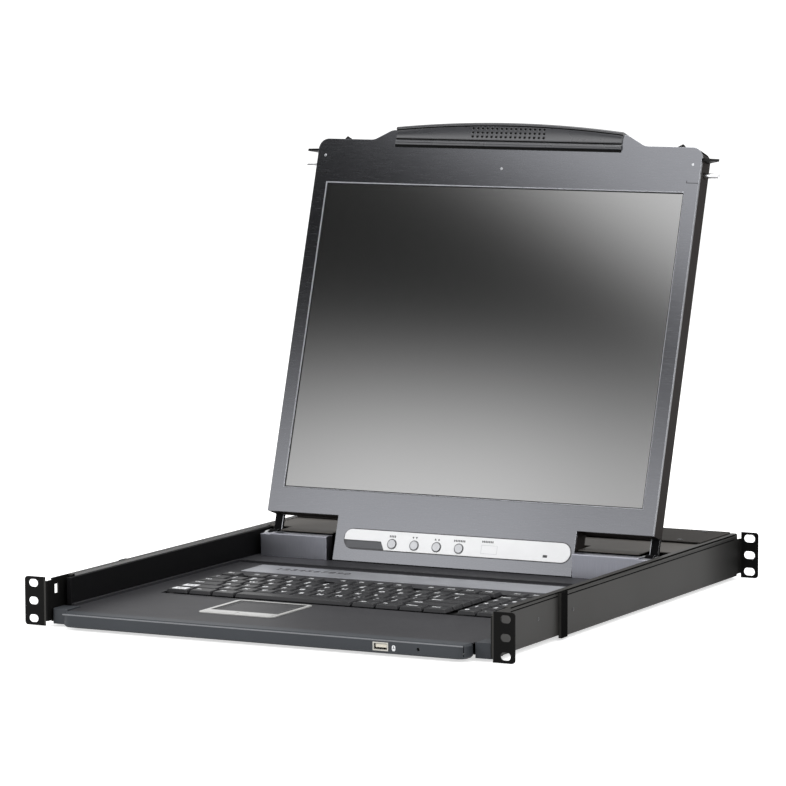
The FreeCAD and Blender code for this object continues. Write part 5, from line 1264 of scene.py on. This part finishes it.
# Places of the screws, in millimetres.
REAR_PANEL_SCREWS = ((-209, 12), (-209, -11), (209, 12), (209, -11), (-97, 11), (35, 11), (35, -11))
BACK_COVER_SCREWS = [(x, y) for x in (-186, 186) for y in (40, 200, 355)]
BACK_COVER_SCREWS += [(x, y) for x in (-70, 70) for y in (30, 380)]
COVER_SCREWS = ((-190, -95, 0, 95, 190), (-190, 190))
COVER_SCREW_INSET = 9 * MM
FLOOR_SCREWS = [(x, y) for x in (-190, 190) for y in (60, 290, 510)]
BEZEL_SCREWS = ((-194, 375), (194, 375), (-3, 366))
WALL_SCREW = (92, 2.0)
BRACKET_SCREW = (157, 1.5)
# Radius and height of each kind of head, in millimetres.
REAR_HEAD, COVER_HEAD, WALL_HEAD = (2.6, 0.8), (2.6, 0.7), (1.9, 0.25)
BRACKET_HEAD, BACK_HEAD, BEZEL_HEAD = (1.7, 0.35), (2.4, 0.7), (1.3, 0.2)


def make_screws(name, body, facing, spots, radius, height, finish="screw_black"):
    """A group of equal screws on one body; radius and height are in millimetres."""
    mesh = bmesh.new()
    layer = mesh.verts.layers.float_vector.new("facing")
    for spot in spots:
        vert = mesh.verts.new(spot)
        vert[layer] = facing
    tree, keys = screw_tree(FINISH[finish])
    made = run_tree(mesh, tree, keys, {"Radius": radius * MM, "Height": height * MM})
    add_piece(name, made, body, finish)


def make_all_screws():
    """Screws of the covers, the rear panel, the underside, the walls and the display."""
    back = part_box("rear_panel")[1].y
    spots = [(x * MM, back, z * MM) for x, z in REAR_PANEL_SCREWS]
    make_screws("rear_panel_screws", "chassis", BACK, spots, *REAR_HEAD)
    low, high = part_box("rear_cover")
    spots = [(x * MM, high.y - COVER_SCREW_INSET, high.z) for x in COVER_SCREWS[0]]
    spots += [(x * MM, low.y + COVER_SCREW_INSET, high.z) for x in COVER_SCREWS[1]]
    make_screws("rear_cover_screws", "chassis", UP, spots, *COVER_HEAD)
    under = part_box("chassis_floor")[0].z
    spots = [(x * MM, y * MM, under) for x, y in FLOOR_SCREWS]
    make_screws("floor_screws", "chassis", DOWN, spots, *COVER_HEAD)
    for name, side in SIDES:
        aside = Vector((side, 0, 0))
        for kind, body, corners, (y, z), head in (
                ("wall", "chassis", wall_corners(name), WALL_SCREW, WALL_HEAD),
                ("bracket", body_of("rear_bracket_" + name), bracket_mouth(name)[1], BRACKET_SCREW,
                 BRACKET_HEAD)):
            wall = outermost(corners, side) * side
            make_screws(kind + "_screw_" + name, body, aside, [(wall, y * MM, z * MM)], *head)
    behind = panel_span("lcd_back_cover")[0].z
    spots = [PANEL @ Vector((x * MM, y * MM, behind)) for x, y in BACK_COVER_SCREWS]
    make_screws("back_cover_screws", "panel", -OUT, spots, *BACK_HEAD)
    face = panel_span("lcd_bezel")[1].z
    spots = [PANEL @ Vector((x * MM, y * MM, face)) for x, y in BEZEL_SCREWS]
    make_screws("bezel_screws", "panel", OUT, spots, *BEZEL_HEAD, "screw_steel")


# ---- camera and light

VIEW_AZIMUTH = math.radians(26.05)
VIEW_ELEVATION = math.radians(7.66)
CAMERA_DISTANCE = 3.9988
CAMERA_AIM = Vector((0.05384, 0.300, 0.06542))
LENS_MM = 199.2
SENSOR_MM = 36.0
SHIFT_ACROSS = -0.0995
SHIFT_UP = 0.1438
# Name, place, aim, size, power in watts, and whether a glossy surface mirrors the lamp.
SOFTBOXES = (("overhead", (0.1, 0.9, 2.0), (0, 0.3, 0), 1.6, 26, True),
             ("left_front", (-1.6, -1.2, 1.0), (0, 0.3, 0.1), 1.0, 20, False),
             ("right_front", (1.8, -0.8, 1.2), (0, 0.3, 0.1), 1.0, 10, True))
AMBIENT = 0.66
FLOOR_HALF = 30
FLOOR_DROP = 1 * MM
FLOOR_GREY = 0.8
FLOOR_GLOW = 0.62
CARD_DISTANCE = 0.55
CARD_HALF = 0.8
CARD_DARK = 0.005
CARD_LOW_LIGHT = 2.3
CARD_CORNER_LIGHT = 2.2
CARD_FALL = 0.3
# Where the card's light starts and ends, in metres from its middle: downwards, sideways and to its corner.
CARD_BELOW = (-0.06, 0.17)
CARD_ASIDE = (0.05, 0.26)
CARD_CORNER = (0.125, 0.275)
CARD_CORNER_WAY = (0.5, 0.86)
CARD_OFFSET = 0.04
CARD_CLEAR = 0.6


def add_camera():
    """Camera at the viewing angle; gives the direction from the object to it."""
    data = bpy.data.cameras.new("camera")
    data.lens = LENS_MM
    data.sensor_width = SENSOR_MM
    data.shift_x = SHIFT_ACROSS
    data.shift_y = SHIFT_UP
    camera = add_object("camera", data)
    flat = math.cos(VIEW_ELEVATION)
    back = Vector((math.sin(VIEW_AZIMUTH) * flat, -math.cos(VIEW_AZIMUTH) * flat, math.sin(VIEW_ELEVATION)))
    camera.location = CAMERA_AIM + back * CAMERA_DISTANCE
    camera.rotation_euler = back.to_track_quat("Z", "Y").to_euler()
    bpy.context.scene.camera = camera
    return back


def add_softbox(name, place, aim, size, power):
    """A soft square lamp at a place, pointed at another."""
    data = bpy.data.lights.new(name, "AREA")
    data.shape = "RECTANGLE"
    data.size = size
    data.size_y = size
    data.energy = power
    lamp = add_object(name, data)
    lamp.location = place
    lamp.rotation_euler = (Vector(place) - Vector(aim)).to_track_quat("Z", "Y").to_euler()
    return lamp


def seen_ray(tree):
    """1 for camera, glossy and transmission rays, 0 for the rest."""
    path = add_node(tree, "ShaderNodeLightPath").outputs
    first = calculate(tree, "MAXIMUM", path["Is Camera Ray"], path["Is Glossy Ray"])
    return calculate(tree, "MAXIMUM", first, path["Is Transmission Ray"])


def add_world():
    """Even grey light, with a white background for what sees it."""
    world = bpy.data.worlds.new("studio")
    bpy.context.scene.world = world
    world.use_nodes = True
    tree = world.node_tree
    strength = ramp(tree, seen_ray(tree), 0.0, 1.0, AMBIENT, 1.0)
    plug(tree, tree.nodes["Background"], {"Color": (1, 1, 1, 1), "Strength": strength})


def add_square(name, half, place=Matrix()):
    """A square of the studio; gives the object and the empty tree of its material."""
    mesh = bmesh.new()
    bmesh.ops.create_grid(mesh, x_segments=1, y_segments=1, size=half, matrix=place)
    square = mesh_object(name, mesh)
    material, tree = new_material(name)
    tree.nodes.clear()
    square.data.materials.append(material)
    return square, tree


def add_floor(level):
    """White floor that keeps a light shadow."""
    floor, tree = add_square("floor", FLOOR_HALF, Matrix.Translation((0, 0, level)))
    diffuse = add_node(tree, "ShaderNodeBsdfDiffuse", {"Color": (FLOOR_GREY, FLOOR_GREY, FLOOR_GREY, 1)})
    strength = calculate(tree, "MULTIPLY", seen_ray(tree), FLOOR_GLOW)
    glow = add_node(tree, "ShaderNodeEmission", {"Strength": strength})
    both = add_node(tree, "ShaderNodeAddShader", {0: diffuse.outputs[0], 1: glow.outputs[0]})
    add_node(tree, "ShaderNodeOutputMaterial", {"Surface": both.outputs[0]})


def add_card(back):
    """Studio card in front of the display: dark above left, pale below and above right, for gloss alone."""
    middle = sum(panel_span("lcd_screen"), Vector()) / 2
    mirrored = 2 * OUT.dot(back) * OUT - back
    card, tree = add_square("reflection_card", CARD_HALF)
    card.matrix_world = Matrix.Translation(mirrored * CARD_DISTANCE) @ PANEL @ Matrix.Translation(middle)
    for kind in ("camera", "diffuse", "transmission", "volume_scatter", "shadow"):
        setattr(card, "visible_" + kind, False)
    place = object_place(tree)
    maths = partial(calculate, tree)

    def along(x, y):
        return vector_maths(tree, "DOT_PRODUCT", place, (x, y, 0))["Value"]

    def step(value, low, high):
        return ramp(tree, value, low, high, kind="SMOOTHSTEP")

    below = step(along(0.0, -1.0), *CARD_BELOW)
    aside = maths("ABSOLUTE", maths("ADD", along(1.0, 0.0), CARD_OFFSET))
    fall = maths("SUBTRACT", 1.0, maths("MULTIPLY", step(aside, *CARD_ASIDE), CARD_FALL))
    low_light = maths("MULTIPLY", maths("MULTIPLY", below, fall), CARD_LOW_LIGHT)
    corner = maths("MULTIPLY", step(along(*CARD_CORNER_WAY), *CARD_CORNER), CARD_CORNER_LIGHT)
    level = maths("ADD", maths("ADD", low_light, corner), CARD_DARK)
    glow = add_node(tree, "ShaderNodeEmission", {"Strength": level}).outputs[0]
    clear = add_node(tree, "ShaderNodeBsdfTransparent").outputs[0]
    out = step(vector_maths(tree, "LENGTH", place)["Value"], CARD_HALF * CARD_CLEAR, CARD_HALF)
    both = add_node(tree, "ShaderNodeMixShader", {0: out, 1: glow, 2: clear})
    add_node(tree, "ShaderNodeOutputMaterial", {"Surface": both.outputs[0]})


def light_object(back):
    """World, floor, three softboxes and the reflection card."""
    add_world()
    add_floor(CAD_BOUNDS[0][2] - FLOOR_DROP)
    for name, place, aim, size, power, glossy in SOFTBOXES:
        add_softbox(name, place, aim, size, power).visible_glossy = glossy
    add_card(back)
    bpy.context.scene.view_settings.view_transform = "Standard"


finish_nodes()
light_object(add_camera())
for row in LEGENDS:
    make_key_row(row)
make_white_keys()
make_handle()
make_screen_trim()
make_bezel_slits()
make_strip_trim()
make_port_trim()
make_lip_trim()
make_pad_well()
make_pin_heads()
make_hinge_glints()
make_collars()
make_wall_shade_lines()
make_all_screws()
